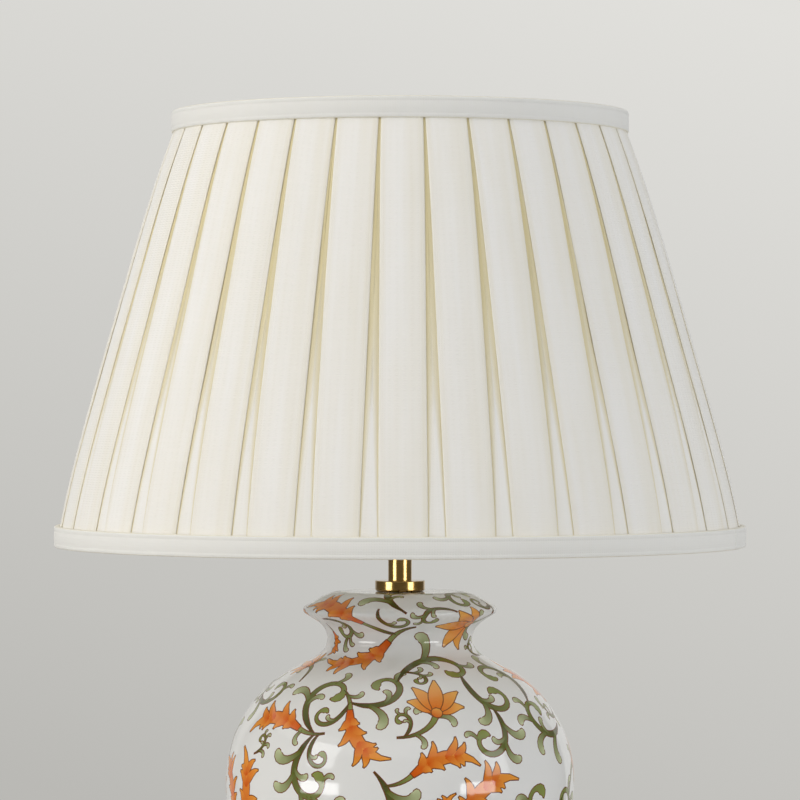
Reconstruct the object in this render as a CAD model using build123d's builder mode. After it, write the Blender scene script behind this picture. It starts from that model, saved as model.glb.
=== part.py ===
from build123d import *
from math import cos, degrees, radians, sin, tan
import os

# Table lamp: a porcelain jar with a brass cap and neck, a switched screw lampholder,
# a bulb and a box-pleated empire shade on a wire frame.
# The lamp stands on z = 0 with its axis on +Z. The front is -Y and the cord leaves at +Y.

# Fits and clearances
FIT = 0.25  # between layers, and round pieces that are pushed together
RUNNING = 0.15  # round a piece that turns or slides on another
HOLE_PLAY = 0.3  # between the threaded rod and a plain hole
EDGE_ROUND = 0.5  # on turned and moulded edges

# Felt and foot
FELT_THICKNESS = 2.0
FELT_INSET = 3.0
FOOT_RADIUS = 70.0
FOOT_ROUND = 1.5

# Porcelain jar, heights above the underside of its foot and drops below the cap's seat
JAR_HEIGHT = 279.7
JAR_WALL = 5.0
JAR_FLOOR = 13.0
CROWN_CORNER_RADIUS = 43.4
CROWN_ROUND = 30.0
LIP_CORNER_RADIUS = 63.0
LIP_CORNER_DROP = 11.3
LIP_ROUND = 2.7
THROAT_CORNER_RADIUS = 32.8
THROAT_CORNER_DROP = 30.0
THROAT_ROUND = 12.2
BELLY_RADIUS = 108.6
SHOULDER_CORNER_DROP = 69.7
EQUATOR_DROP = 118.7
BELLY_CORNER_DROP = 163.7
WAIST_CORNER_RADIUS = 64.0
WAIST_CORNER_HEIGHT = 20.0
WAIST_ROUND = 40.0
TANGENT_SHARE = 0.98  # of a run that its arc takes up, so a short straight is left

# Clamping set under the jar
FOOT_RING = 12.0
REBATE_DEPTH = 9.0
FLOOR_HOLE_RADIUS = 30.0
PLATE_THICKNESS = 2.5
WASHER_RADIUS = 9.5
WASHER_THICKNESS = 1.0
WASHER_TEETH = 10
WASHER_NOTCH_RADIUS = 1.0
NUT_FLATS = 14.0
NUT_SIDES = 6
NUT_THICKNESS = 4.0
ROD_RADIUS = 5.0
ROD_BORE_RADIUS = 3.4
ROD_END = 0.5  # past the nut

# Cord inlet at the back of the waist
INLET_HEIGHT = 22.0  # above the foot
SPOT_FACE_OFFSET = 1.6  # of the flat behind the bush, out from the waist corner
BUSH_BORE_RADIUS = 3.3
BUSH_SHANK_RADIUS = 5.0
BUSH_SHANK_LENGTH = 8.0
BUSH_FLANGE_RADIUS = 7.5
BUSH_FLANGE_THICKNESS = 2.2

# Brass cap, its washer and the neck
GASKET_THICKNESS = 1.5
CAP_RADIUS = 15.6
CAP_HEIGHT = 6.5
CAP_RECESS = 1.3
CAP_RIM = 2.0
CAP_CHAMFER = 1.0
NECK_RADIUS = 7.4
NECK_LENGTH = 24.0

# Lampholder, heights above its underside
HOLDER_WALL = 1.2
SOCKET_RADIUS = 8.0
SOCKET_HEIGHT = 7.0
CUP_RADIUS = 20.0
CUP_SLOPE_HEIGHT = 16.0
CUP_HEIGHT = 36.0
SHELL_OVERLAP = 5.0
COLLAR_RADIUS = 21.0
COLLAR_HEIGHT = 3.0
THREAD_RADIUS = 20.0
THREAD_DEPTH = 0.5
THREAD_PITCH = 2.5
THREAD_TURNS = 10
SHELL_TOP = 68.0
SHELL_MOUTH_RADIUS = 15.2
INSERT_START = 27.5
INSERT_FLANGE = 3.2
INSERT_FLOOR = 12.0
INSERT_TOP = 64.0
BEAD_HEIGHT = 1.0
GRUB_RADIUS = 1.5
GRUB_LENGTH = 2.4
TERMINAL_SPREAD = 11.0
TERMINAL_HEAD_RADIUS = 2.6
TERMINAL_HEAD = 2.0
TERMINAL_SHANK_RADIUS = 1.4
TERMINAL_SHANK = 6.0
TERMINAL_SLOT = 0.7
TERMINAL_SLOT_DEPTH = 0.8

# Rounded thread that holds the bulb, drawn as rings
EDISON_RADIUS = 12.68  # middle of the wave
EDISON_DEPTH = 0.55  # of the wave, either side of the middle
EDISON_PITCH = 3.6
EDISON_TURNS = 5
EDISON_START = 46.0
EDISON_PLAY = 0.3
SHEET_THICKNESS = 0.6
CONTACT_WIDTH = 5.0
CONTACT_LENGTH = 16.0
CONTACT_FOOT = 4.0
CONTACT_CROWN = 5.0
CONTACT_RING = 1.5  # round the contact, clear of the screw shell

# Push-through switch
BAR_RADIUS = 3.0
BAR_HEIGHT = 22.5
BAR_LENGTH = 62.0
BUTTON_RADIUS = 4.2
BUTTON_LENGTH = 9.0
BUTTON_SOCKET = 6.0
SWITCH_TRAVEL = 6.0

# Shade rings on the lampholder
LOWER_RING_HEIGHT = 42.0
LOWER_RING_THICKNESS = 4.0
UPPER_RING_THICKNESS = 6.0
RING_RADIUS = 28.0
RING_SCALLOPS = 24
SCALLOP_RADIUS = 1.6

# Bulb
TIP_RADIUS = 4.0
TIP_HEIGHT = 1.4
INSULATOR_RADIUS = 8.5
INSULATOR_FOOT_RADIUS = 5.0
INSULATOR_HEIGHT = 2.4
INSULATOR_PLUG = 2.0
CAP_LEAD = 1.2
CAP_TAIL = 2.0
SPIGOT_LENGTH = 8.0
HOUSING_NECK_RADIUS = 14.0
HOUSING_NECK_HEIGHT = 3.0
HOUSING_HEIGHT = 36.0
HOUSING_WALL = 1.6
HOUSING_PLATE = 3.0
GLOBE_RADIUS = 30.0
GLOBE_STRAIGHT = 20.0
GLOBE_WALL = 1.2
BOARD_THICKNESS = 1.6
BOARD_RECESS = 2.0

# Shade, heights above its lower edge
SHADE_GAP = 28.4  # from the jar's seat up to the lower edge
SHADE_HEIGHT = 270.0
SHADE_BOTTOM_RADIUS = 215.0
SHADE_TOP_RADIUS = 142.5
TRIM_HEIGHT = 13.0
TRIM_THICKNESS = 1.3
TRIM_TURN_IN = 10.0
TRIM_ROUND = 1.1
PLEATS = 34
FIRST_GAP_ANGLE = 5.8  # from the front towards +X
COVER_INSET = 0.9  # of the pleat faces behind the trim
COVER_MARGIN = 4.0  # of the cover's ends inside the trim
COVER_THICKNESS = 3.0
COVER_SWELL = 4.0  # of the pleat faces at half height
COVER_SWELL_NEAR = 2.7  # of the pleat faces near either end
COVER_SWELL_RUN = 33.0  # from the cover's end to there
GAP_BOTTOM = 10.6
GAP_TOP = 1.0
GAP_DEPTH_BOTTOM = 1.0
GAP_DEPTH_TOP = 2.0
LINING_THICKNESS = 0.8
RING_WIRE_RADIUS = 2.0
STRUT_WIRE_RADIUS = 1.4
STRUTS = 8
FIRST_STRUT_ANGLE = 22.5  # from +X towards the back

# Fitter that sits on the lampholder
FITTER_OVERHANG = 3.0  # past the shade rings
FITTER_PLAY = 1.2
FITTER_THICKNESS = 2.0
ARMS = 3
ARM_RADIUS = 1.7
FIRST_ARM_ANGLE = 90.0  # from +X towards the back
ARM_WELD = 2.2  # of an arm's end over the fitter ring

# Heights that follow
jar_z = FELT_THICKNESS
seat_z = jar_z + JAR_HEIGHT
ledge_z = jar_z + REBATE_DEPTH
plate_z = ledge_z - PLATE_THICKNESS
washer_z = plate_z - WASHER_THICKNESS
nut_z = washer_z - NUT_THICKNESS
rod_z = nut_z - ROD_END
cap_z = seat_z + GASKET_THICKNESS - CAP_RECESS
neck_z = cap_z + CAP_HEIGHT
holder_z = neck_z + NECK_LENGTH
shade_z = seat_z + SHADE_GAP
fitter_z = holder_z + LOWER_RING_HEIGHT + LOWER_RING_THICKNESS
upper_ring_z = fitter_z + FITTER_THICKNESS

# Sizes that follow
rod_hole = ROD_RADIUS + HOLE_PLAY
rebate_radius = FOOT_RADIUS - FOOT_RING
ring_bore = THREAD_RADIUS + RUNNING
cup_inside = CUP_RADIUS - HOLDER_WALL
skirt_radius = cup_inside - RUNNING
shell_inside = skirt_radius - HOLDER_WALL
insert_radius = shell_inside - FIT
insert_floor_top = INSERT_START + INSERT_FLOOR
screw_inside = EDISON_RADIUS + EDISON_PLAY
screw_outside = screw_inside + SHEET_THICKNESS
insert_bore = screw_outside + EDISON_DEPTH + FIT
edison_end = EDISON_START + EDISON_TURNS * EDISON_PITCH
tip_height = EDISON_START - CAP_LEAD - INSULATOR_HEIGHT - TIP_HEIGHT
cap_inside = EDISON_RADIUS - EDISON_DEPTH - SHEET_THICKNESS
housing_start = edison_end + CAP_TAIL
globe_start = housing_start + HOUSING_HEIGHT
board_height = globe_start - BOARD_RECESS
fitter_radius = RING_RADIUS + FITTER_OVERHANG

# Shade cone that follows
cover_low = COVER_MARGIN
cover_high = SHADE_HEIGHT - COVER_MARGIN
cover_bottom = SHADE_BOTTOM_RADIUS - TRIM_THICKNESS - COVER_INSET
cover_neck = SHADE_TOP_RADIUS - TRIM_THICKNESS - COVER_INSET
cone_slope = (cover_bottom - cover_neck) / (SHADE_HEIGHT - TRIM_HEIGHT - cover_low)
cone_cosine = 1 / (1 + cone_slope**2) ** 0.5
ring_inset = COVER_THICKNESS + (RING_WIRE_RADIUS + FIT) / cone_cosine
lining_inset = ring_inset + (RING_WIRE_RADIUS + FIT) / cone_cosine
turn_in_inset = lining_inset + LINING_THICKNESS + FIT / cone_cosine
ring_margin = TRIM_THICKNESS + FIT + RING_WIRE_RADIUS


def section_plane(height):
    """Plane of a half section: X is the radius and local Y the height above this level."""
    return Plane(origin=(0, 0, height), x_dir=(1, 0, 0), z_dir=(0, -1, 0))


def cone(height, inset=0.0):
    """Radius of the shade's cone at a height above its lower edge, less an inset."""
    return cover_bottom - cone_slope * (height - cover_low) - inset


def arc_radius(before, corner, after, reach):
    """Radius of the arc that leaves both runs of a corner at this reach from it."""
    turn = (Vector(*corner) - Vector(*before)).get_angle(Vector(*after) - Vector(*corner))
    return TANGENT_SHARE * reach / tan(radians(turn) / 2)


def wave(radius):
    """Draw the rounded thread as arcs that swell out and in by turns, going up."""
    for turn in range(2 * EDISON_TURNS):
        low = EDISON_START + turn * EDISON_PITCH / 2
        swell = EDISON_DEPTH if turn % 2 == 0 else -EDISON_DEPTH
        ThreePointArc(
            (radius, low),
            (radius + swell, low + EDISON_PITCH / 4),
            (radius, low + EDISON_PITCH / 2),
        )


def ring(radius, bore, thickness, height):
    """Flat ring or washer that starts at this height."""
    with BuildPart() as flat_ring:
        with BuildSketch(Plane.XY.offset(height)):
            Circle(radius)
            Circle(bore, mode=Mode.SUBTRACT)
        extrude(amount=thickness)
    return flat_ring.part


def scalloped_ring(thickness, height):
    """Shade ring with finger scallops round its rim."""
    with BuildPart() as shade_ring:
        add(ring(RING_RADIUS, ring_bore, thickness, height))
        with BuildSketch(Plane.XY.offset(height)):
            with PolarLocations(RING_RADIUS + SCALLOP_RADIUS / 2, RING_SCALLOPS):
                Circle(SCALLOP_RADIUS)
        extrude(amount=thickness, mode=Mode.SUBTRACT)
    return shade_ring.part


def pleat_outline(height, swell):
    """Closed outline of the pleats at one height: flat faces with a recess in each gap."""
    share = (height - cover_low) / (cover_high - cover_low)
    gap = GAP_BOTTOM + share * (GAP_TOP - GAP_BOTTOM)
    depth = GAP_DEPTH_BOTTOM + share * (GAP_DEPTH_TOP - GAP_DEPTH_BOTTOM)
    face_radius = cone(height) + swell
    half_gap = degrees(gap / 2 / face_radius)
    corners = []
    for pleat in range(PLEATS):
        middle = FIRST_GAP_ANGLE - 90 + pleat * 360 / PLEATS
        for angle, radius in (
            (middle - half_gap, face_radius),
            (middle - half_gap, face_radius - depth),
            (middle + half_gap, face_radius - depth),
            (middle + half_gap, face_radius),
        ):
            corners.append((radius * cos(radians(angle)), radius * sin(radians(angle))))
    return corners


def wire_between(start, end, radius, count, first_angle):
    """Straight wires set round the axis, from one (radius, height) point to another."""
    with BuildPart() as wires:
        for wire in range(count):
            angle = radians(first_angle + wire * 360 / count)
            foot = Vector(start[0] * cos(angle), start[0] * sin(angle), start[1])
            head = Vector(end[0] * cos(angle), end[0] * sin(angle), end[1])
            with BuildSketch(Plane(origin=foot, z_dir=head - foot)):
                Circle(radius)
            extrude(amount=(head - foot).length)
    return wires.part


# Felt pad glued under the foot
with BuildPart() as felt_pad:
    with BuildSketch():
        Circle(FOOT_RADIUS - FELT_INSET)
    extrude(amount=FELT_THICKNESS)

# Porcelain jar: outline from the seat of the cap down to the foot
seat_point = (0, JAR_HEIGHT)
crown_point = (CROWN_CORNER_RADIUS, JAR_HEIGHT)
lip_point = (LIP_CORNER_RADIUS, JAR_HEIGHT - LIP_CORNER_DROP)
throat_point = (THROAT_CORNER_RADIUS, JAR_HEIGHT - THROAT_CORNER_DROP)
shoulder_point = (BELLY_RADIUS, JAR_HEIGHT - SHOULDER_CORNER_DROP)
belly_point = (BELLY_RADIUS, JAR_HEIGHT - BELLY_CORNER_DROP)
waist_point = (WAIST_CORNER_RADIUS, WAIST_CORNER_HEIGHT)
foot_point = (FOOT_RADIUS, 0)
shoulder_round = arc_radius(
    throat_point, shoulder_point, belly_point, EQUATOR_DROP - SHOULDER_CORNER_DROP
)
belly_round = arc_radius(
    shoulder_point, belly_point, waist_point, BELLY_CORNER_DROP - EQUATOR_DROP
)
with BuildSketch(section_plane(jar_z)) as jar_section:
    with BuildLine():
        FilletPolyline(
            seat_point,
            crown_point,
            lip_point,
            throat_point,
            shoulder_point,
            belly_point,
            waist_point,
            foot_point,
            radius=[CROWN_ROUND, LIP_ROUND, THROAT_ROUND, shoulder_round, belly_round, WAIST_ROUND],
        )
        Polyline(foot_point, (0, 0), seat_point)
    make_face()

# Cavity of the jar: its whole section drawn in by the wall, above the floor
with BuildSketch(section_plane(jar_z)) as jar_cavity:
    add(jar_section.sketch_local)
    mirror(about=Plane.YZ)
    offset(amount=-JAR_WALL, mode=Mode.REPLACE)
    with Locations((0, JAR_FLOOR)):
        Rectangle(BELLY_RADIUS, JAR_HEIGHT, align=(Align.MIN, Align.MIN), mode=Mode.INTERSECT)

inlet_z = jar_z + INLET_HEIGHT
spot_face_y = WAIST_CORNER_RADIUS + SPOT_FACE_OFFSET
spot_face = Plane(origin=(0, spot_face_y, inlet_z), x_dir=(1, 0, 0), z_dir=(0, 1, 0))
with BuildPart() as jar_body:
    add(jar_section.sketch)
    revolve(axis=Axis.Z)
    fillet(jar_body.faces().sort_by(Axis.Z)[0].edges(), FOOT_ROUND)
    add(jar_cavity.sketch)
    revolve(axis=Axis.Z, mode=Mode.SUBTRACT)
    with BuildSketch(Plane.XY.offset(seat_z)):
        Circle(rod_hole)
    extrude(amount=-2 * JAR_WALL, mode=Mode.SUBTRACT)
    with BuildSketch(Plane.XY.offset(jar_z)):
        Circle(rebate_radius)
    extrude(amount=REBATE_DEPTH, mode=Mode.SUBTRACT)
    with BuildSketch(Plane.XY.offset(jar_z)):
        Circle(FLOOR_HOLE_RADIUS)
    extrude(amount=JAR_FLOOR, mode=Mode.SUBTRACT)
    with BuildSketch(spot_face):
        Circle(BUSH_FLANGE_RADIUS + FIT)
    extrude(amount=FOOT_RADIUS, mode=Mode.SUBTRACT)
    with BuildSketch(spot_face):
        Circle(BUSH_SHANK_RADIUS + FIT)
    extrude(amount=-2 * JAR_WALL, mode=Mode.SUBTRACT)

# Bush that lines the cord hole
with BuildPart() as cord_bush:
    with BuildSketch(spot_face):
        Circle(BUSH_FLANGE_RADIUS)
    extrude(amount=BUSH_FLANGE_THICKNESS)
    with BuildSketch(spot_face):
        Circle(BUSH_SHANK_RADIUS)
    extrude(amount=-BUSH_SHANK_LENGTH)
    fillet(cord_bush.faces().sort_by(Axis.Y)[-1].edges(), EDGE_ROUND)
    with BuildSketch(spot_face):
        Circle(BUSH_BORE_RADIUS)
    extrude(amount=BUSH_SHANK_LENGTH, both=True, mode=Mode.SUBTRACT)

# Plate, toothed washer, nut and hollow rod that pull the lamp together
with BuildPart() as base_plate:
    add(ring(rebate_radius - FIT, rod_hole, PLATE_THICKNESS, plate_z))

with BuildPart() as lock_washer:
    add(ring(WASHER_RADIUS, rod_hole, WASHER_THICKNESS, washer_z))
    with BuildSketch(Plane.XY.offset(washer_z)):
        with PolarLocations(WASHER_RADIUS, WASHER_TEETH):
            Circle(WASHER_NOTCH_RADIUS)
    extrude(amount=WASHER_THICKNESS, mode=Mode.SUBTRACT)

with BuildPart() as rod_nut:
    with BuildSketch(Plane.XY.offset(nut_z)):
        RegularPolygon(NUT_FLATS / 2, NUT_SIDES, major_radius=False)
        Circle(ROD_RADIUS + RUNNING, mode=Mode.SUBTRACT)
    extrude(amount=NUT_THICKNESS)

with BuildPart() as tie_rod:
    add(ring(ROD_RADIUS, ROD_BORE_RADIUS, holder_z + SOCKET_HEIGHT - rod_z, rod_z))
    chamfer(tie_rod.edges().filter_by(GeomType.CIRCLE).group_by(SortBy.RADIUS)[-1], EDGE_ROUND)

# Washer in the recess of the cap, and the cap
with BuildPart() as cap_gasket:
    add(ring(CAP_RADIUS - CAP_RIM - FIT, rod_hole, GASKET_THICKNESS, seat_z))

with BuildPart() as jar_cap:
    add(ring(CAP_RADIUS, rod_hole, CAP_HEIGHT, cap_z))
    rim_edges = jar_cap.edges().filter_by(GeomType.CIRCLE).group_by(SortBy.RADIUS)[-1]
    chamfer(rim_edges.sort_by(Axis.Z)[0], CAP_CHAMFER)
    fillet(rim_edges.sort_by(Axis.Z)[-1], EDGE_ROUND)
    with BuildSketch(Plane.XY.offset(cap_z)):
        Circle(CAP_RADIUS - CAP_RIM)
    extrude(amount=CAP_RECESS, mode=Mode.SUBTRACT)

with BuildPart() as neck_tube:
    add(ring(NECK_RADIUS, rod_hole, NECK_LENGTH, neck_z))

# Lampholder cup with its threaded socket, holes for the switch bar and bead for the insert
bar_plane = Plane(origin=(0, 0, holder_z + BAR_HEIGHT), x_dir=(0, 1, 0), z_dir=(1, 0, 0))
grub_start = ROD_RADIUS + RUNNING
grub_plane = Plane(
    origin=(0, grub_start, holder_z + SOCKET_HEIGHT / 2), x_dir=(1, 0, 0), z_dir=(0, 1, 0)
)
with BuildPart() as holder_base:
    with BuildSketch(section_plane(holder_z)):
        with BuildLine():
            Polyline(
                (ROD_RADIUS + RUNNING, 0),
                (SOCKET_RADIUS, 0),
                (SOCKET_RADIUS, SOCKET_HEIGHT - HOLDER_WALL),
                (CUP_RADIUS, CUP_SLOPE_HEIGHT),
                (CUP_RADIUS, CUP_HEIGHT),
                (cup_inside, CUP_HEIGHT),
                (cup_inside, INSERT_START),
                (insert_radius, INSERT_START),
                (cup_inside, INSERT_START - BEAD_HEIGHT),
                (cup_inside, CUP_SLOPE_HEIGHT + HOLDER_WALL),
                (SOCKET_RADIUS, SOCKET_HEIGHT),
                (ROD_RADIUS + RUNNING, SOCKET_HEIGHT),
                close=True,
            )
        make_face()
    revolve(axis=Axis.Z)
    with BuildSketch(bar_plane):
        Circle(BAR_RADIUS + RUNNING)
    extrude(amount=2 * CUP_RADIUS, both=True, mode=Mode.SUBTRACT)
    with BuildSketch(grub_plane):
        Circle(GRUB_RADIUS + RUNNING)
    extrude(amount=SOCKET_RADIUS, mode=Mode.SUBTRACT)

with BuildPart() as grub_screw:
    with BuildSketch(grub_plane):
        Circle(GRUB_RADIUS)
    extrude(amount=GRUB_LENGTH)

# Threaded shell of the lampholder: skirt in the cup, collar, ring thread, drawn-in mouth
thread_start = CUP_HEIGHT + COLLAR_HEIGHT
thread_end = thread_start + THREAD_TURNS * THREAD_PITCH
thread_root = THREAD_RADIUS - THREAD_DEPTH
with BuildPart() as holder_shell:
    with BuildSketch(section_plane(holder_z)):
        with BuildLine():
            Polyline(
                (thread_root, thread_start),
                (COLLAR_RADIUS, thread_start),
                (COLLAR_RADIUS, CUP_HEIGHT),
                (skirt_radius, CUP_HEIGHT),
                (skirt_radius, CUP_HEIGHT - SHELL_OVERLAP),
                (shell_inside, CUP_HEIGHT - SHELL_OVERLAP),
                (shell_inside, SHELL_TOP - HOLDER_WALL),
                (SHELL_MOUTH_RADIUS, SHELL_TOP - HOLDER_WALL),
                (SHELL_MOUTH_RADIUS, SHELL_TOP),
                (thread_root, SHELL_TOP),
                (thread_root, thread_end),
            )
            for turn in range(THREAD_TURNS):
                low = thread_start + turn * THREAD_PITCH
                Polyline(
                    (thread_root, low),
                    (THREAD_RADIUS, low + THREAD_PITCH / 2),
                    (thread_root, low + THREAD_PITCH),
                )
        make_face()
    revolve(axis=Axis.Z)

# Insulating insert: flange held between bead and skirt, floor, sleeve round the screw shell
with BuildPart() as holder_insert:
    add(ring(insert_radius, insert_bore, INSERT_TOP - INSERT_START, holder_z + INSERT_START))
    with BuildSketch(Plane.XY.offset(holder_z + INSERT_START)):
        Circle(insert_radius)
    extrude(amount=INSERT_FLOOR)
    with BuildSketch(Plane.XY.offset(holder_z + INSERT_START)):
        Circle(cup_inside - FIT)
    extrude(amount=INSERT_FLANGE)
    with BuildSketch(Plane.XY.offset(holder_z + INSERT_START)):
        with Locations((0, TERMINAL_SPREAD), (0, -TERMINAL_SPREAD)):
            Circle(TERMINAL_SHANK_RADIUS + RUNNING)
    extrude(amount=TERMINAL_SHANK + FIT, mode=Mode.SUBTRACT)

# Terminal screws under the insert
with BuildPart() as terminal_screws:
    for side in (-TERMINAL_SPREAD, TERMINAL_SPREAD):
        with BuildSketch(Plane.XY.offset(holder_z + INSERT_START)):
            with Locations((0, side)):
                Circle(TERMINAL_HEAD_RADIUS)
        extrude(amount=-TERMINAL_HEAD)
        with BuildSketch(Plane.XY.offset(holder_z + INSERT_START)):
            with Locations((0, side)):
                Circle(TERMINAL_SHANK_RADIUS)
        extrude(amount=TERMINAL_SHANK)
        with BuildSketch(Plane.XY.offset(holder_z + INSERT_START - TERMINAL_HEAD)):
            with Locations((0, side)):
                Rectangle(2 * TERMINAL_HEAD_RADIUS, TERMINAL_SLOT)
        extrude(amount=TERMINAL_SLOT_DEPTH, mode=Mode.SUBTRACT)

# Screw shell for the bulb, with a flange on the floor of the insert
with BuildPart() as screw_shell:
    with BuildSketch(section_plane(holder_z)):
        with BuildLine():
            wave(screw_inside)
            wave(screw_outside)
            Line((screw_inside, edison_end), (screw_outside, edison_end))
            Polyline(
                (screw_outside, EDISON_START),
                (screw_outside, insert_floor_top),
                (CONTACT_LENGTH / 2 + CONTACT_RING, insert_floor_top),
                (CONTACT_LENGTH / 2 + CONTACT_RING, insert_floor_top + SHEET_THICKNESS),
                (screw_inside, insert_floor_top + SHEET_THICKNESS),
                (screw_inside, EDISON_START),
            )
        make_face()
    revolve(axis=Axis.Z)

# Sprung centre contact: two feet and a raised crown under the bulb's tip
contact_top = tip_height - RUNNING
with BuildPart() as centre_contact:
    with BuildSketch(section_plane(holder_z)):
        with BuildLine():
            Polyline(
                (-CONTACT_LENGTH / 2, insert_floor_top),
                (-CONTACT_LENGTH / 2 + CONTACT_FOOT, insert_floor_top),
                (-CONTACT_CROWN / 2, contact_top - SHEET_THICKNESS),
                (CONTACT_CROWN / 2, contact_top - SHEET_THICKNESS),
                (CONTACT_LENGTH / 2 - CONTACT_FOOT, insert_floor_top),
                (CONTACT_LENGTH / 2, insert_floor_top),
                (CONTACT_LENGTH / 2, insert_floor_top + SHEET_THICKNESS),
                (CONTACT_LENGTH / 2 - CONTACT_FOOT, insert_floor_top + SHEET_THICKNESS),
                (CONTACT_CROWN / 2, contact_top),
                (-CONTACT_CROWN / 2, contact_top),
                (-CONTACT_LENGTH / 2 + CONTACT_FOOT, insert_floor_top + SHEET_THICKNESS),
                (-CONTACT_LENGTH / 2, insert_floor_top + SHEET_THICKNESS),
                close=True,
            )
        make_face()
    extrude(amount=CONTACT_WIDTH / 2, both=True)

# Switch bar, pushed to -X at rest, and its two buttons
bar_start = -(BAR_LENGTH + SWITCH_TRAVEL) / 2
with BuildPart() as switch_bar:
    with BuildSketch(bar_plane.offset(bar_start)):
        Circle(BAR_RADIUS)
    extrude(amount=BAR_LENGTH)

with BuildPart() as switch_buttons:
    for inner_face, way in (
        (bar_start + BUTTON_SOCKET, -1),
        (bar_start + BAR_LENGTH - BUTTON_SOCKET, 1),
    ):
        with BuildSketch(bar_plane.offset(inner_face)):
            Circle(BUTTON_RADIUS)
        extrude(amount=way * BUTTON_LENGTH)
    fillet(
        switch_buttons.edges().filter_by(GeomType.CIRCLE).group_by(Axis.X)[0]
        + switch_buttons.edges().filter_by(GeomType.CIRCLE).group_by(Axis.X)[-1],
        EDGE_ROUND,
    )
    with BuildSketch(bar_plane.offset(bar_start)):
        Circle(BAR_RADIUS)
    extrude(amount=BAR_LENGTH, mode=Mode.SUBTRACT)

# Shade rings below and above the fitter
with BuildPart() as lower_shade_ring:
    add(scalloped_ring(LOWER_RING_THICKNESS, holder_z + LOWER_RING_HEIGHT))

with BuildPart() as upper_shade_ring:
    add(scalloped_ring(UPPER_RING_THICKNESS, upper_ring_z))

# Bulb: tip, insulator, screw cap, housing, light board and globe
with BuildPart() as bulb_tip:
    with BuildSketch(Plane.XY.offset(holder_z + tip_height)):
        Circle(TIP_RADIUS)
    extrude(amount=TIP_HEIGHT)
    fillet(bulb_tip.faces().sort_by(Axis.Z)[0].edges(), EDGE_ROUND)

with BuildPart() as bulb_insulator:
    insulator_foot = tip_height + TIP_HEIGHT
    plug_radius = INSULATOR_RADIUS - FIT
    with BuildSketch(section_plane(holder_z)):
        with BuildLine():
            Polyline(
                (0, insulator_foot),
                (INSULATOR_FOOT_RADIUS, insulator_foot),
                (plug_radius, insulator_foot + INSULATOR_HEIGHT),
                (plug_radius, insulator_foot + INSULATOR_HEIGHT + INSULATOR_PLUG),
                (0, insulator_foot + INSULATOR_HEIGHT + INSULATOR_PLUG),
                close=True,
            )
        make_face()
    revolve(axis=Axis.Z)

with BuildPart() as bulb_cap:
    with BuildSketch(section_plane(holder_z)):
        with BuildLine():
            wave(EDISON_RADIUS)
            Polyline(
                (EDISON_RADIUS, edison_end),
                (EDISON_RADIUS, housing_start),
                (cap_inside, housing_start),
                (cap_inside, EDISON_START),
                (INSULATOR_RADIUS, EDISON_START - CAP_LEAD + SHEET_THICKNESS),
                (INSULATOR_RADIUS, EDISON_START - CAP_LEAD),
                (EDISON_RADIUS, EDISON_START),
            )
        make_face()
    revolve(axis=Axis.Z)

with BuildPart() as bulb_housing:
    neck_top = housing_start + HOUSING_NECK_HEIGHT
    neck_inside = HOUSING_NECK_RADIUS - HOUSING_WALL
    spigot_radius = cap_inside - FIT
    plate_foot = board_height - HOUSING_PLATE
    board_radius = GLOBE_RADIUS - HOUSING_WALL
    with BuildSketch(section_plane(holder_z)):
        with BuildLine():
            TangentArc(
                (GLOBE_RADIUS, globe_start), (HOUSING_NECK_RADIUS, neck_top), tangent=(0, -1)
            )
            Polyline(
                (HOUSING_NECK_RADIUS, neck_top),
                (HOUSING_NECK_RADIUS, housing_start),
                (spigot_radius, housing_start),
                (spigot_radius, housing_start - SPIGOT_LENGTH),
                (0, housing_start - SPIGOT_LENGTH),
                (0, board_height),
                (board_radius, board_height),
                (board_radius, globe_start),
                (GLOBE_RADIUS, globe_start),
            )
        make_face()
        with BuildLine():
            TangentArc((board_radius, plate_foot), (neck_inside, neck_top), tangent=(0, -1))
            Polyline(
                (neck_inside, neck_top), (0, neck_top), (0, plate_foot), (board_radius, plate_foot)
            )
        make_face(mode=Mode.SUBTRACT)
    revolve(axis=Axis.Z)

with BuildPart() as light_board:
    with BuildSketch(Plane.XY.offset(holder_z + board_height)):
        Circle(board_radius - FIT)
    extrude(amount=BOARD_THICKNESS)

with BuildPart() as bulb_globe:
    dome_start = globe_start + GLOBE_STRAIGHT
    globe_inside = GLOBE_RADIUS - GLOBE_WALL
    with BuildSketch(section_plane(holder_z)):
        with BuildLine():
            Line((GLOBE_RADIUS, globe_start), (GLOBE_RADIUS, dome_start))
            CenterArc((0, dome_start), GLOBE_RADIUS, 0, 90)
            Line((0, dome_start + GLOBE_RADIUS), (0, dome_start + globe_inside))
            CenterArc((0, dome_start), globe_inside, 0, 90)
            Polyline(
                (globe_inside, dome_start), (globe_inside, globe_start), (GLOBE_RADIUS, globe_start)
            )
        make_face()
    revolve(axis=Axis.Z)

# Wire frame of the shade
ring_low = ring_margin
ring_high = SHADE_HEIGHT - ring_margin
with BuildPart() as bottom_ring:
    with Locations((0, 0, shade_z + ring_low)):
        Torus(cone(ring_low, ring_inset), RING_WIRE_RADIUS)

with BuildPart() as top_ring:
    with Locations((0, 0, shade_z + ring_high)):
        Torus(cone(ring_high, ring_inset), RING_WIRE_RADIUS)

with BuildPart() as frame_struts:
    add(
        wire_between(
            (cone(ring_low, ring_inset), shade_z + ring_low),
            (cone(ring_high, ring_inset), shade_z + ring_high),
            STRUT_WIRE_RADIUS,
            STRUTS,
            FIRST_STRUT_ANGLE,
        )
    )
    add(bottom_ring.part, mode=Mode.SUBTRACT)
    add(top_ring.part, mode=Mode.SUBTRACT)

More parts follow.
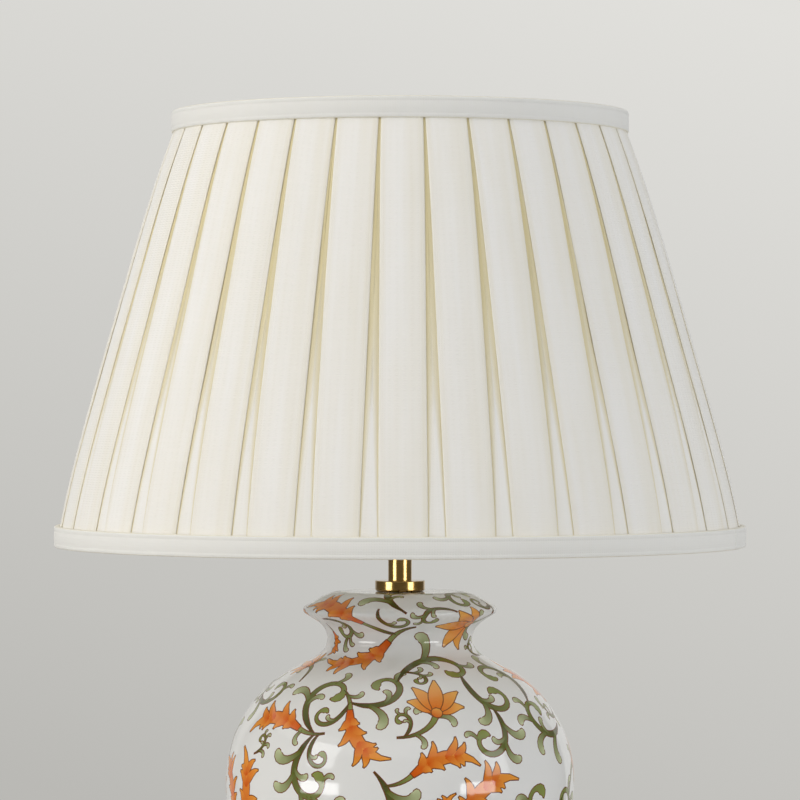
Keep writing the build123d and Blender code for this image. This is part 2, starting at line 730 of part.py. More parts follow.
# Fitter: a flat ring clamped by the shade rings, and arms down to the bottom ring
arm_start = (fitter_radius - ARM_WELD, fitter_z + FITTER_THICKNESS / 2)
arm_end = (cone(ring_low, ring_inset), shade_z + ring_low)
with BuildPart() as fitter_ring:
    add(ring(fitter_radius, THREAD_RADIUS + FITTER_PLAY, FITTER_THICKNESS, fitter_z))

with BuildPart() as fitter_arms:
    add(wire_between(arm_start, arm_end, ARM_RADIUS, ARMS, FIRST_ARM_ANGLE))
    add(fitter_ring.part, mode=Mode.SUBTRACT)
    add(bottom_ring.part, mode=Mode.SUBTRACT)

# Lining stretched inside the rings, pierced by the arms
arm_holes = wire_between(arm_start, arm_end, ARM_RADIUS + FIT, ARMS, FIRST_ARM_ANGLE)
with BuildPart() as shade_lining:
    with BuildSketch(section_plane(shade_z)):
        with BuildLine():
            Polyline(
                (cone(cover_low, lining_inset), cover_low),
                (cone(cover_high, lining_inset), cover_high),
                (cone(cover_high, lining_inset + LINING_THICKNESS), cover_high),
                (cone(cover_low, lining_inset + LINING_THICKNESS), cover_low),
                close=True,
            )
        make_face()
    revolve(axis=Axis.Z)
    add(arm_holes, mode=Mode.SUBTRACT)

# Pleated cover: box pleats that open downwards and swell out between the trims
cover_swells = (
    (cover_low, 0.0),
    (cover_low + COVER_SWELL_RUN, COVER_SWELL_NEAR),
    ((cover_low + cover_high) / 2, COVER_SWELL),
    (cover_high - COVER_SWELL_RUN, COVER_SWELL_NEAR),
    (cover_high, 0.0),
)
with BuildPart() as pleated_cover:
    for height, swell in cover_swells:
        with BuildSketch(Plane.XY.offset(shade_z + height)):
            Polygon(*pleat_outline(height, swell), align=None)
    loft(ruled=True)
    with BuildSketch(section_plane(shade_z)):
        with BuildLine():
            Polyline(
                (0, cover_low),
                *[(cone(height, COVER_THICKNESS) + swell, height) for height, swell in cover_swells],
                (0, cover_high),
                close=True,
            )
        make_face()
    revolve(axis=Axis.Z, mode=Mode.SUBTRACT)

# Trims: bands that wrap the edges of cover, rings and lining
with BuildPart() as bottom_trim:
    with BuildSketch(section_plane(shade_z)):
        with BuildLine():
            Polyline(
                (SHADE_BOTTOM_RADIUS, 0),
                (SHADE_BOTTOM_RADIUS, TRIM_HEIGHT),
                (SHADE_BOTTOM_RADIUS - TRIM_THICKNESS, TRIM_HEIGHT),
                (SHADE_BOTTOM_RADIUS - TRIM_THICKNESS, TRIM_THICKNESS),
                (cone(TRIM_THICKNESS, turn_in_inset), TRIM_THICKNESS),
                (cone(TRIM_TURN_IN, turn_in_inset), TRIM_TURN_IN),
                (cone(TRIM_TURN_IN, turn_in_inset + TRIM_THICKNESS), TRIM_TURN_IN),
                (cone(0, turn_in_inset + TRIM_THICKNESS), 0),
                close=True,
            )
        make_face()
    revolve(axis=Axis.Z)
    fillet(bottom_trim.faces().sort_by(Axis.Z)[0].edges(), TRIM_ROUND)
    add(arm_holes, mode=Mode.SUBTRACT)

with BuildPart() as top_trim:
    trim_low = SHADE_HEIGHT - TRIM_HEIGHT
    bridge_low = SHADE_HEIGHT - TRIM_THICKNESS
    turn_in_low = SHADE_HEIGHT - TRIM_TURN_IN
    with BuildSketch(section_plane(shade_z)):
        with BuildLine():
            Polyline(
                (SHADE_TOP_RADIUS, SHADE_HEIGHT),
                (SHADE_TOP_RADIUS, trim_low),
                (SHADE_TOP_RADIUS - TRIM_THICKNESS, trim_low),
                (SHADE_TOP_RADIUS - TRIM_THICKNESS, bridge_low),
                (cone(bridge_low, turn_in_inset), bridge_low),
                (cone(turn_in_low, turn_in_inset), turn_in_low),
                (cone(turn_in_low, turn_in_inset + TRIM_THICKNESS), turn_in_low),
                (cone(SHADE_HEIGHT, turn_in_inset + TRIM_THICKNESS), SHADE_HEIGHT),
                close=True,
            )
        make_face()
    revolve(axis=Axis.Z)
    fillet(top_trim.faces().sort_by(Axis.Z)[-1].edges(), TRIM_ROUND)

# Names and files
nodes = {
    "felt_pad": felt_pad,
    "jar_body": jar_body,
    "cord_bush": cord_bush,
    "base_plate": base_plate,
    "lock_washer": lock_washer,
    "rod_nut": rod_nut,
    "tie_rod": tie_rod,
    "cap_gasket": cap_gasket,
    "jar_cap": jar_cap,
    "neck_tube": neck_tube,
    "holder_base": holder_base,
    "grub_screw": grub_screw,
    "holder_shell": holder_shell,
    "holder_insert": holder_insert,
    "terminal_screws": terminal_screws,
    "screw_shell": screw_shell,
    "centre_contact": centre_contact,
    "switch_bar": switch_bar,
    "switch_buttons": switch_buttons,
    "lower_shade_ring": lower_shade_ring,
    "upper_shade_ring": upper_shade_ring,
    "bulb_tip": bulb_tip,
    "bulb_insulator": bulb_insulator,
    "bulb_cap": bulb_cap,
    "bulb_housing": bulb_housing,
    "light_board": light_board,
    "bulb_globe": bulb_globe,
    "bottom_ring": bottom_ring,
    "top_ring": top_ring,
    "frame_struts": frame_struts,
    "fitter_ring": fitter_ring,
    "fitter_arms": fitter_arms,
    "shade_lining": shade_lining,
    "pleated_cover": pleated_cover,
    "bottom_trim": bottom_trim,
    "top_trim": top_trim,
}
os.makedirs("parts", exist_ok=True)
for label, node in nodes.items():
    node.part.label = label
    export_step(node.part, f"parts/{label}.step")
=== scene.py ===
"""Table lamp: porcelain jar with a scroll print, brass fittings and a box-pleated shade."""

import logging
import math
import random
from dataclasses import dataclass, field
from enum import Enum
from typing import Callable, Sequence

import bpy
import numpy as np
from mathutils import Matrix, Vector, noise
from mathutils.geometry import delaunay_2d_cdt


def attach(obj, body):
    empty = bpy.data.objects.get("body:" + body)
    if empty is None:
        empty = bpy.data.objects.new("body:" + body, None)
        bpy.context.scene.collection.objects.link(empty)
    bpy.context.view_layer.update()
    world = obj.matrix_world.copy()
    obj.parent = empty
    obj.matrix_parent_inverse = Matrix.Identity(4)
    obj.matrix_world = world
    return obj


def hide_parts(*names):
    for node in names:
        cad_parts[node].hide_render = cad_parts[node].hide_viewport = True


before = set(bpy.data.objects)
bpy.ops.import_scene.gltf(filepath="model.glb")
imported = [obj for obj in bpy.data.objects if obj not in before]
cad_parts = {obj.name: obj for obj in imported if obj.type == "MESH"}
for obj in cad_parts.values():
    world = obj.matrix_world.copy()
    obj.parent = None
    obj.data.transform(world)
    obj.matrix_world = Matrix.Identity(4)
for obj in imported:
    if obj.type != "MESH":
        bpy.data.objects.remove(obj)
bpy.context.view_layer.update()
MM = 0.001
WAVE_TURN = 20  # radians per metre of a wave texture at scale 1
SIDES = (-1, 1)
LOG = logging.getLogger("lamp")

Corner = tuple[float, float, float]
NodeTree = bpy.types.NodeTree
Material = bpy.types.Material
MeshObject = bpy.types.Object


def linear(code: str, alpha: float = 1.0) -> tuple[float, float, float, float]:
    """Turn an sRGB hex colour into linear values.

    Args:
        code: six hex digits after a hash sign.
        alpha: opacity to carry along.

    Returns:
        Linear red, green, blue and alpha.
    """
    shares = [int(code[start:start + 2], 16) / 255 for start in (1, 3, 5)]
    flat = [s / 12.92 if s <= 0.04045 else ((s + 0.055) / 1.055) ** 2.4 for s in shares]
    return (flat[0], flat[1], flat[2], alpha)


def add_node(tree: NodeTree, kind: str, settings: dict | None = None, **inputs: object) -> bpy.types.Node:
    """Add a node with its settings, values and links.

    Args:
        tree: node tree that gets the node.
        kind: Blender's name of the node type.
        settings: attributes to set on the node.
        inputs: input sockets by name, with underscores for spaces, or by number, as n0 or n1; an output
            socket is linked, and any other value is set.

    Returns:
        The new node.
    """
    node = tree.nodes.new(kind)
    for key, value in (settings or {}).items():
        setattr(node, key, value)
    for key, value in inputs.items():
        by_number = key[0] == "n" and key[1:].isdigit()
        socket = node.inputs[int(key[1:]) if by_number else key.replace("_", " ")]
        if isinstance(value, bpy.types.NodeSocket):
            tree.links.new(value, socket)
        else:
            socket.default_value = value
    return node


def cell_scale(size_mm: float) -> float:
    """Scale of a noise texture whose cells are this wide."""
    return 1 / (size_mm * MM)


def wave_scale(spacing_mm: float) -> float:
    """Scale of a wave texture whose bands are this far apart."""
    return 2 * math.pi / (WAVE_TURN * spacing_mm * MM)


@dataclass(frozen=True)
class Finish:
    """One real material, with its colour and gloss."""

    name: str
    colour: str
    roughness: float = 0.5

    def start(self) -> tuple[Material, NodeTree, bpy.types.Node]:
        """Make the material with its colour and gloss set.

        Returns:
            The material, its node tree and its shader node.
        """
        material = bpy.data.materials.new(self.name)
        material.use_nodes = True
        shader = material.node_tree.nodes["Principled BSDF"]
        shader.inputs["Base Color"].default_value = linear(self.colour)
        shader.inputs["Roughness"].default_value = self.roughness
        return material, material.node_tree, shader

    def material(self) -> Material:
        """Make the finished material; each kind of finish adds its own nodes."""
        return self.start()[0]

    def tint(self, tree: NodeTree, shader: bpy.types.Node, share: bpy.types.NodeSocket,
             other: object) -> None:
        """Mix the finish's own colour with another one.

        Args:
            tree: the material's node tree.
            shader: its shader node.
            share: how much of the other colour shows, 0 to 1.
            other: the other colour, as linear values or from a socket.
        """
        mixed = add_node(tree, "ShaderNodeMix", {"data_type": "RGBA"}, Factor=share,
                         n6=linear(self.colour), n7=other)
        tree.links.new(mixed.outputs[2], shader.inputs["Base Color"])

    def mottle(self, tree: NodeTree, shader: bpy.types.Node, dark: str, cell_mm: float) -> None:
        """Vary the colour softly between the finish's own and a darker one.

        Args:
            tree: the material's node tree.
            shader: its shader node.
            dark: the darker colour.
            cell_mm: size of the patches.
        """
        where = add_node(tree, "ShaderNodeTexCoord")
        patches = add_node(tree, "ShaderNodeTexNoise", Vector=where.outputs["Object"],
                           Scale=cell_scale(cell_mm), Detail=4.0)
        self.tint(tree, shader, patches.outputs["Fac"], linear(dark))

    def bump(self, tree: NodeTree, shader: bpy.types.Node, height: bpy.types.NodeSocket,
             depth_mm: float, strength: float) -> None:
        """Raise the surface by a height pattern.

        Args:
            tree: the material's node tree.
            shader: its shader node.
            height: the pattern, from 0 to 1.
            depth_mm: depth of the pattern.
            strength: share of the bump that shows.
        """
        raised = add_node(tree, "ShaderNodeBump", Height=height, Distance=depth_mm * MM, Strength=strength)
        tree.links.new(raised.outputs["Normal"], shader.inputs["Normal"])


@dataclass(frozen=True)
class GlazedPorcelain(Finish):
    """Fired porcelain: a hard clear glaze over white clay with an enamel print under it."""

    ior: float = 1.52
    ripple_mm: float = 26.0

    def material(self) -> Material:
        """Make the glaze: glossy, a little uneven, with the print from the mesh's colours.

        Returns:
            The material.
        """
        material, tree, shader = self.start()
        shader.inputs["IOR"].default_value = self.ior
        print_colour = add_node(tree, "ShaderNodeVertexColor", {"layer_name": "print"})
        self.tint(tree, shader, print_colour.outputs["Alpha"], print_colour.outputs["Color"])
        where = add_node(tree, "ShaderNodeTexCoord")
        ripple = add_node(tree, "ShaderNodeTexNoise", Vector=where.outputs["Object"],
                          Scale=cell_scale(self.ripple_mm), Detail=2.0)
        self.bump(tree, shader, ripple.outputs["Fac"], depth_mm=0.4, strength=0.25)
        return material


@dataclass(frozen=True)
class TurnedBrass(Finish):
    """Polished and lacquered brass, turned on a lathe, so fine rings run round it."""

    dark: str = "#A07C3A"
    patch_mm: float = 14.0
    ring_mm: float = 1.2  # drawn coarser than the real 0.2 mm so that the rings show
    lacquer: float = 0.7

    def material(self) -> Material:
        """Make the metal: bright gloss with the lathe's faint rings and darker patches of age.

        Returns:
            The material.
        """
        material, tree, shader = self.start()
        shader.inputs["Metallic"].default_value = 1.0
        shader.inputs["Coat Weight"].default_value = self.lacquer
        shader.inputs["Coat Roughness"].default_value = self.roughness / 2
        self.mottle(tree, shader, self.dark, self.patch_mm)
        where = add_node(tree, "ShaderNodeTexCoord")
        rings = add_node(tree, "ShaderNodeTexWave", {"bands_direction": "Z"},
                         Vector=where.outputs["Object"], Scale=wave_scale(self.ring_mm),
                         Distortion=1.5, Detail=2.0)
        self.bump(tree, shader, rings.outputs["Fac"], depth_mm=0.05, strength=0.2)
        return material


@dataclass(frozen=True)
class MouldedFinish(Finish):
    """Moulded, drawn or painted stock with a faint grain."""

    dark: str = "#000000"
    metallic: float = 0.0
    patch_mm: float = 9.0
    grain_mm: float = 0.8  # drawn coarser than the real 0.1 to 0.3 mm so that the grain shows

    def material(self) -> Material:
        """Make the stock, with soft colour patches and a fine grain.

        Returns:
            The material.
        """
        material, tree, shader = self.start()
        shader.inputs["Metallic"].default_value = self.metallic
        self.mottle(tree, shader, self.dark, self.patch_mm)
        where = add_node(tree, "ShaderNodeTexCoord")
        grain = add_node(tree, "ShaderNodeTexNoise", Vector=where.outputs["Object"],
                         Scale=cell_scale(self.grain_mm), Detail=3.0)
        self.bump(tree, shader, grain.outputs["Fac"], depth_mm=0.06, strength=0.25)
        return material


@dataclass(frozen=True)
class WovenCloth(Finish):
    """Plain-woven cloth: threads cross at right angles, with slubs and a soft sheen."""

    slub_and_fold_shade_colour: str = "#DFD1A1"  # of slubs, and the painted shade of the cloth deep in a fold
    slub: float = 0.12  # share of that colour in a full slub
    slub_mm: float = 4.0
    slub_stretch: float = 25.0  # length of a slub against its width
    slub_range: tuple[float, float] = (0.35, 0.75)  # of the noise, from no slub to a full one
    thread_mm: float = 1.5  # drawn coarser than the real 0.3 mm so that the weave shows
    weave: float = 0.35  # share of the threads' relief that shows
    sheen: float = 0.25
    sheen_roughness: float = 0.5
    specular: float = 0.2

    def material(self) -> Material:
        """Make the cloth: weave from the cloth's own map in metres, painted shade in the folds.

        Returns:
            The material.
        """
        material, tree, shader = self.start()
        shader.inputs["Sheen Weight"].default_value = self.sheen
        shader.inputs["Sheen Roughness"].default_value = self.sheen_roughness
        shader.inputs["Specular IOR Level"].default_value = self.specular
        cloth = add_node(tree, "ShaderNodeUVMap", {"uv_map": "cloth"})
        heights = []
        for turn in ("X", "Y"):
            threads = add_node(tree, "ShaderNodeTexWave", {"bands_direction": turn, "wave_profile": "SIN"},
                               Vector=cloth.outputs["UV"], Scale=wave_scale(self.thread_mm),
                               Distortion=0.6, Detail=1.0)
            heights.append(threads.outputs["Fac"])
        weave = add_node(tree, "ShaderNodeMath", {"operation": "MULTIPLY"}, n0=heights[0], n1=heights[1])
        self.bump(tree, shader, weave.outputs[0], depth_mm=0.25, strength=self.weave)
        streaks_at = add_node(tree, "ShaderNodeMapping", Vector=cloth.outputs["UV"],
                              Scale=(1.0, 1 / self.slub_stretch, 1.0))
        streaks = add_node(tree, "ShaderNodeTexNoise", Vector=streaks_at.outputs["Vector"],
                           Scale=cell_scale(self.slub_mm), Detail=3.0)
        none, full = self.slub_range
        slub = add_node(tree, "ShaderNodeMapRange", Value=streaks.outputs["Fac"], From_Min=none,
                        From_Max=full, To_Min=0.0, To_Max=self.slub)
        # Painted shade: the fold attribute, added to the slubs, mixes in the darker colour where the folds
        # cut off light.
        fold = add_node(tree, "ShaderNodeAttribute", {"attribute_name": "fold"})
        depth = add_node(tree, "ShaderNodeMath", {"operation": "ADD", "use_clamp": True},
                         n0=slub.outputs[0], n1=fold.outputs["Fac"])
        self.tint(tree, shader, depth.outputs[0], linear(self.slub_and_fold_shade_colour))
        return material


@dataclass(frozen=True)
class WoolFelt(Finish):
    """Pressed wool felt: no weave, short fibres in every direction, no gloss."""

    dark: str = "#2A2320"
    patch_mm: float = 3.0
    fibre_mm: float = 0.6  # drawn coarser than the real 0.03 mm so that the fibres show
    sheen: float = 0.6

    def material(self) -> Material:
        """Make the felt, with a fibre bump and a strong soft sheen.

        Returns:
            The material.
        """
        material, tree, shader = self.start()
        shader.inputs["Sheen Weight"].default_value = self.sheen
        self.mottle(tree, shader, self.dark, self.patch_mm)
        where = add_node(tree, "ShaderNodeTexCoord")
        fibres = add_node(tree, "ShaderNodeTexNoise", Vector=where.outputs["Object"],
                          Scale=cell_scale(self.fibre_mm), Detail=6.0)
        self.bump(tree, shader, fibres.outputs["Fac"], depth_mm=0.4, strength=0.8)
        return material


# Clear glaze: sharp, wet highlights over a white ground, with the print bright under them.
PORCELAIN = GlazedPorcelain("Glazed porcelain with enamel print", "#F1F1EF", 0.07)
# Turned and lacquered metal: warm upright highlights beside dark bands, under a clear shine.
BRASS = TurnedBrass("Turned brass, lacquered", "#D3B06A", 0.2)
# Plating: pale grey and a little cloudy, with soft highlights.
ZINC = MouldedFinish("Zinc-plated steel", "#B4B4B2", 0.35, dark="#8E8E8C", metallic=1.0)
# Lacquer hides the metal: an even creamy white with a satin gloss.
LACQUERED_WIRE = MouldedFinish("Steel wire, white lacquer", "#ECE9E0", 0.4, dark="#DDD8CB")
# Fired without a glaze: dense, off-white and nearly matt.
STEATITE = MouldedFinish("Steatite ceramic, fired unglazed", "#EAE6DA", 0.45, dark="#D8D2C0")
# The mould's skin: deep black with a soft gloss.
BLACK_PLASTIC = MouldedFinish("Black nylon, moulded", "#1B1B1C", 0.4, dark="#101011")
# Hard resin from a polished mould: dark brown with clear highlights.
BROWN_PLASTIC = MouldedFinish("Phenolic resin, moulded", "#33211A", 0.25, dark="#24160F")
# Milky plastic: warm white with broad, soft highlights.
OPAL_PLASTIC = MouldedFinish("Opal polycarbonate, moulded", "#F1EFE9", 0.35, dark="#E8E5DC")
# Moulded plastic: plain cool white with a satin gloss.
WHITE_PLASTIC = MouldedFinish("White polyamide, moulded", "#EAEAE6", 0.35, dark="#DEDED8")
# Drawn metal: light grey and bright, with soft-edged highlights.
DRAWN_ALUMINIUM = MouldedFinish("Drawn aluminium", "#C3C4C6", 0.3, dark="#A9AAAD", metallic=1.0)
# Rubber: nearly black and dull.
NITRILE = MouldedFinish("Nitrile rubber, moulded", "#1A1A1A", 0.7, dark="#121212")
# The silk gives a soft sheen and faint upright slubs, and painted shade turns the folds a straw colour.
COVER_CLOTH = WovenCloth("Cotton and silk cloth, pleated", "#F7F5F0", 0.75)
# Plain cotton: matt and even, almost without streaks.
TRIM_CLOTH = WovenCloth("Cotton binding tape, woven", "#EFEEE9", 0.8, slub=0.03, weave=0.25)
# Thin smooth cloth: a faint gloss, streaks that run up it, and painted shade on its ripples.
LINING_CLOTH = WovenCloth("Viscose lining, woven", "#F7F5EE", 0.6, slub_and_fold_shade_colour="#EDE8DA",
                          slub=0.2, weave=0.2)
# Short fibres swallow the light: dark brown without gloss.
FELT = WoolFelt("Pressed wool felt", "#3A322D", 0.95)


class Tone(Enum):
    """Enamel colours of the print, as (root end, tip end) of a brush stroke."""

    STEM = ("#46421F", "#8F9A50")
    HOOK = ("#626A27", "#CED5A8")
    FLAME = ("#DB5C0B", "#F5A440")
    PETAL = ("#E56F0E", "#F8B95C")
    BERRY = ("#D9620F", "#F3AC50")


class Facing(Enum):
    """Which side of a turned surface is the open one."""

    OUTWARDS = 1
    INWARDS = -1


def select_only(piece: MeshObject) -> None:
    """Leave one object selected and active.

    Args:
        piece: the object.
    """
    bpy.ops.object.select_all(action="DESELECT")
    piece.select_set(True)
    bpy.context.view_layer.objects.active = piece


def select_faces(piece: MeshObject, wanted: Callable[[bpy.types.MeshPolygon], bool]) -> None:
    """Go to edit mode with some faces selected.

    Args:
        piece: the active object.
        wanted: test that says whether a face is selected.
    """
    bpy.ops.object.mode_set(mode="EDIT")
    bpy.ops.mesh.select_mode(type="FACE")
    bpy.ops.mesh.select_all(action="DESELECT")
    bpy.ops.object.mode_set(mode="OBJECT")
    for face in piece.data.polygons:
        face.select = wanted(face)
    bpy.ops.object.mode_set(mode="EDIT")


def dress(piece: MeshObject, material: Material) -> None:
    """Give an object one material in its first slot.

    Args:
        piece: the object.
        material: the material.
    """
    if not piece.material_slots:
        piece.data.materials.append(material)
    piece.material_slots[0].material = material


def new_piece(name: str, points: np.ndarray, faces: Sequence[Sequence[int]]) -> MeshObject:
    """Make an object from points in metres and faces.

    Args:
        name: the piece's name.
        points: one row per vertex.
        faces: vertex numbers of each face.

    Returns:
        The new object, linked to the scene.
    """
    mesh = bpy.data.meshes.new(name)
    mesh.from_pydata(points.tolist(), [], faces)
    mesh.update()
    piece = bpy.data.objects.new(name, mesh)
    bpy.context.scene.collection.objects.link(piece)
    return piece


def apply_modifier(piece: MeshObject, kind: str, **settings: object) -> None:
    """Add a modifier with its settings and apply it.

    Args:
        piece: the object.
        kind: Blender's name of the modifier type.
        settings: attributes of the modifier.
    """
    select_only(piece)
    modifier = piece.modifiers.new(kind.lower(), kind)
    for key, value in settings.items():
        setattr(modifier, key, value)
    bpy.ops.object.modifier_apply(modifier=modifier.name)


def settle(piece: MeshObject, body: str, node: str, finish: Finish) -> None:
    """Dress a new piece and put it in its CAD piece's place.

    Args:
        piece: the new piece.
        body: body that it rides on.
        node: CAD piece that it stands for.
        finish: what it is made of.
    """
    dress(piece, finish.material())
    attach(piece, body)
    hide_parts(node)
    LOG.info("built %s in %s: %d faces", piece.name, finish.name, len(piece.data.polygons))


@dataclass
class TurnedOutline:
    """Outline of a turned surface: straights and arcs, measured by the way along it.

    Corners are (radius, height, radius of the arc that rounds it) in millimetres.
    """

    corners: list[Corner]
    base_height: float
    step: float = 0.5
    arc_points: int = 8  # least number of points on an arc
    flatness: float = 0.02  # how far a mesh edge may cut into a bend
    least_bend: float = 1e-5  # under which a stretch counts as straight
    gap_growth: float = 0.4  # by which a gap between rows may outgrow the next one
    points: np.ndarray = field(init=False)
    normals: np.ndarray = field(init=False)
    along: np.ndarray = field(init=False)

    def __post_init__(self) -> None:
        """Sample the outline once, finely enough to interpolate in."""
        path = [np.array(self.corners[0][:2])]
        for before, corner, after in zip(self.corners, self.corners[1:], self.corners[2:]):
            path.extend(self.arc(before, corner, after))
        path.append(np.array(self.corners[-1][:2]))
        rough = np.array(path)
        lengths = np.concatenate([[0], np.cumsum(np.linalg.norm(np.diff(rough, axis=0), axis=1))])
        self.along = np.linspace(0, lengths[-1], int(lengths[-1] / self.step) + 1)
        self.points = np.stack([np.interp(self.along, lengths, rough[:, axis]) for axis in (0, 1)], axis=1)
        self.points[:, 1] += self.base_height
        tangent = np.gradient(self.points, self.along, axis=0)
        tangent /= np.linalg.norm(tangent, axis=1, keepdims=True)
        self.normals = np.stack([-tangent[:, 1], tangent[:, 0]], axis=1)

    def arc(self, before: Corner, corner: Corner, after: Corner) -> list[np.ndarray]:
        """Points of the arc that rounds a corner.

        Args:
            before: the corner ahead of it.
            corner: the corner, with the radius of its arc.
            after: the corner behind it.

        Returns:
            Points from where the arc starts to where it ends.
        """
        here, turn_radius = np.array(corner[:2]), corner[2]
        if turn_radius <= 0:
            return [here]
        inwards = (np.array(before[:2]) - here) / np.linalg.norm(np.array(before[:2]) - here)
        outwards = (np.array(after[:2]) - here) / np.linalg.norm(np.array(after[:2]) - here)
        half = math.acos(float(np.clip(inwards @ outwards, -1, 1))) / 2
        reach = turn_radius / math.tan(half)
        middle = (inwards + outwards) / np.linalg.norm(inwards + outwards)
        centre = here + middle * turn_radius / math.sin(half)
        start, end = here + inwards * reach - centre, here + outwards * reach - centre
        first = math.atan2(start[1], start[0])
        sweep = (math.atan2(end[1], end[0]) - first + math.pi) % (2 * math.pi) - math.pi
        count = max(self.arc_points, int(abs(sweep) * turn_radius / self.step))
        angles = first + sweep * np.linspace(0, 1, count)
        return list(centre + turn_radius * np.stack([np.cos(angles), np.sin(angles)], axis=1))

    def drawn_in(self, wall: float) -> list[Corner]:
        """Corners of the outline that lies inside this one by a wall's thickness.

        Args:
            wall: the thickness.

        Returns:
            The corners between the first and the last, with their arcs.
        """
        places = np.array([corner[:2] for corner in self.corners])
        along = np.diff(places, axis=0)
        along /= np.linalg.norm(along, axis=1, keepdims=True)
        inner = places[:-1] + wall * np.stack([along[:, 1], -along[:, 0]], axis=1)
        result = []
        for number in range(len(along) - 1):
            ahead, behind = along[number], along[number + 1]
            cross = ahead[0] * behind[1] - ahead[1] * behind[0]
            gap = inner[number + 1] - inner[number]
            share = (gap[0] * behind[1] - gap[1] * behind[0]) / cross
            turn_radius = self.corners[number + 1][2] + math.copysign(wall, cross)
            result.append((*(inner[number] + share * ahead), max(0.0, turn_radius)))
        return result

    @property
    def length(self) -> float:
        """Way from one end of the outline to the other."""
        return float(self.along[-1])

    def radius(self, way: np.ndarray) -> np.ndarray:
        """Radius at each way along the outline."""
        return np.interp(way, self.along, self.points[:, 0])

    def place(self, angle: np.ndarray, way: np.ndarray) -> np.ndarray:
        """Points of the surface, in metres.

        Args:
            angle: angle from the front towards +X, in radians.
            way: way along the outline.

        Returns:
            One row of x, y, z per point.
        """
        radius, height = self.radius(way), np.interp(way, self.along, self.points[:, 1])
        return np.stack([radius * np.sin(angle), -radius * np.cos(angle), height], axis=1) * MM

    def facing(self, angle: np.ndarray, way: np.ndarray) -> np.ndarray:
        """Normals of the surface.

        Args:
            angle: angle from the front towards +X, in radians.
            way: way along the outline.

        Returns:
            One row of x, y, z per point.
        """
        out = np.interp(way, self.along, self.normals[:, 0])
        up = np.interp(way, self.along, self.normals[:, 1])
        return np.stack([out * np.sin(angle), -out * np.cos(angle), up], axis=1)

    def rows(self, longest: float) -> list[float]:
        """Ways at which rows of mesh points keep the surface true.

        Args:
            longest: largest gap between rows.

        Returns:
            Ways from the first end to the last.
        """
        bend = np.linalg.norm(np.gradient(self.normals, self.along, axis=0), axis=1)
        # A chord of this length stands off its arc by the flatness.
        chord = np.sqrt(8 * self.flatness / np.maximum(bend, self.least_bend))
        gaps = np.clip(chord, self.step, longest)
        ways = [0.0]
        while ways[-1] + self.step < self.length:
            gap = float(np.interp(ways[-1], self.along, gaps))
            next_gap = float(np.interp(ways[-1] + gap, self.along, gaps))
            gap = min(gap, next_gap + self.gap_growth * gap)
            ways.append(min(ways[-1] + gap, self.length))
        ways[-1] = self.length
        return ways

    def circle_at_back(self, radius: float, height: float, count: int) -> np.ndarray:
        """Angles and ways of a round hole at the back, on the lower part of the surface.

        Args:
            radius: the hole's radius.
            height: height of its middle.
            count: number of points.

        Returns:
            One row of angle and way per point.
        """
        turn = np.linspace(0, 2 * math.pi, count, endpoint=False)
        across, up = radius * np.sin(turn), height + radius * np.cos(turn)
        start = int(np.argmax(self.points[:, 0]))
        end = start + int(np.argmin(self.points[start:, 1] > height - 2 * radius))
        way = np.interp(-up, -self.points[start:end, 1], self.along[start:end])
        return np.stack([math.pi - np.arcsin(across / self.radius(way)), way], axis=1)


@dataclass(frozen=True)
class Root:
    """Place on the jar where a stroke starts: angle, way down the outline, and heading."""

    angle: float
    way: float
    heading: float


@dataclass
class Stroke:
    """One brush stroke: places and headings along its middle, and half its width there."""

    angle: np.ndarray
    way: np.ndarray
    heading: np.ndarray
    half: np.ndarray
    tone: Tone
    level: int = 0

    def root_at(self, share: float, turn: float) -> Root:
        """Where a side stroke leaves this one.

        Args:
            share: how far along this stroke.
            turn: its heading against this stroke's.

        Returns:
            The side stroke's root.
        """
        at = round(share * (len(self.angle) - 1))
        return Root(self.angle[at], self.way[at], self.heading[at] + turn)

    def edge(self, outline: TurnedOutline, margin: float) -> np.ndarray:
        """Closed edge of the stroke, widened by a margin.

        Args:
            outline: the jar's outline.
            margin: how far past the stroke's own edge, in millimetres.

        Returns:
            One row of angle and way per point, in order.
        """
        radius = outline.radius(self.way)
        ends = np.zeros(len(self.way))
        ends[0], ends[-1] = -margin, margin
        way = self.way + np.sin(self.heading) * ends
        angle = self.angle + np.cos(self.heading) * ends / radius
        aside, down = np.sin(self.heading) / radius, np.cos(self.heading)
        wide = self.half + margin
        left = np.stack([angle - aside * wide, way + down * wide], axis=1)
        right = np.stack([angle + aside * wide, way - down * wide], axis=1)
        return np.concatenate([left, right[::-1]])


@dataclass
class Motif:
    """Strokes that belong together, and groups of strokes that can be left out one by one."""

    body: list[Stroke]
    extras: list[list[Stroke]] = field(default_factory=list)


def crowded(points: int, power: float) -> np.ndarray:
    """Places from 0 to 1 that lie closer together towards the end, the more so the higher the power."""
    return 1 - (1 - np.linspace(0, 1, points)) ** power


def rounded(share: np.ndarray, tip: float, blunt: float = 0.985) -> np.ndarray:
    """Share of its width that a stroke keeps along its tip, which is round but never quite closed."""
    return np.sqrt(1 - blunt * np.clip((share - (1 - tip)) / tip, 0, 1) ** 2)


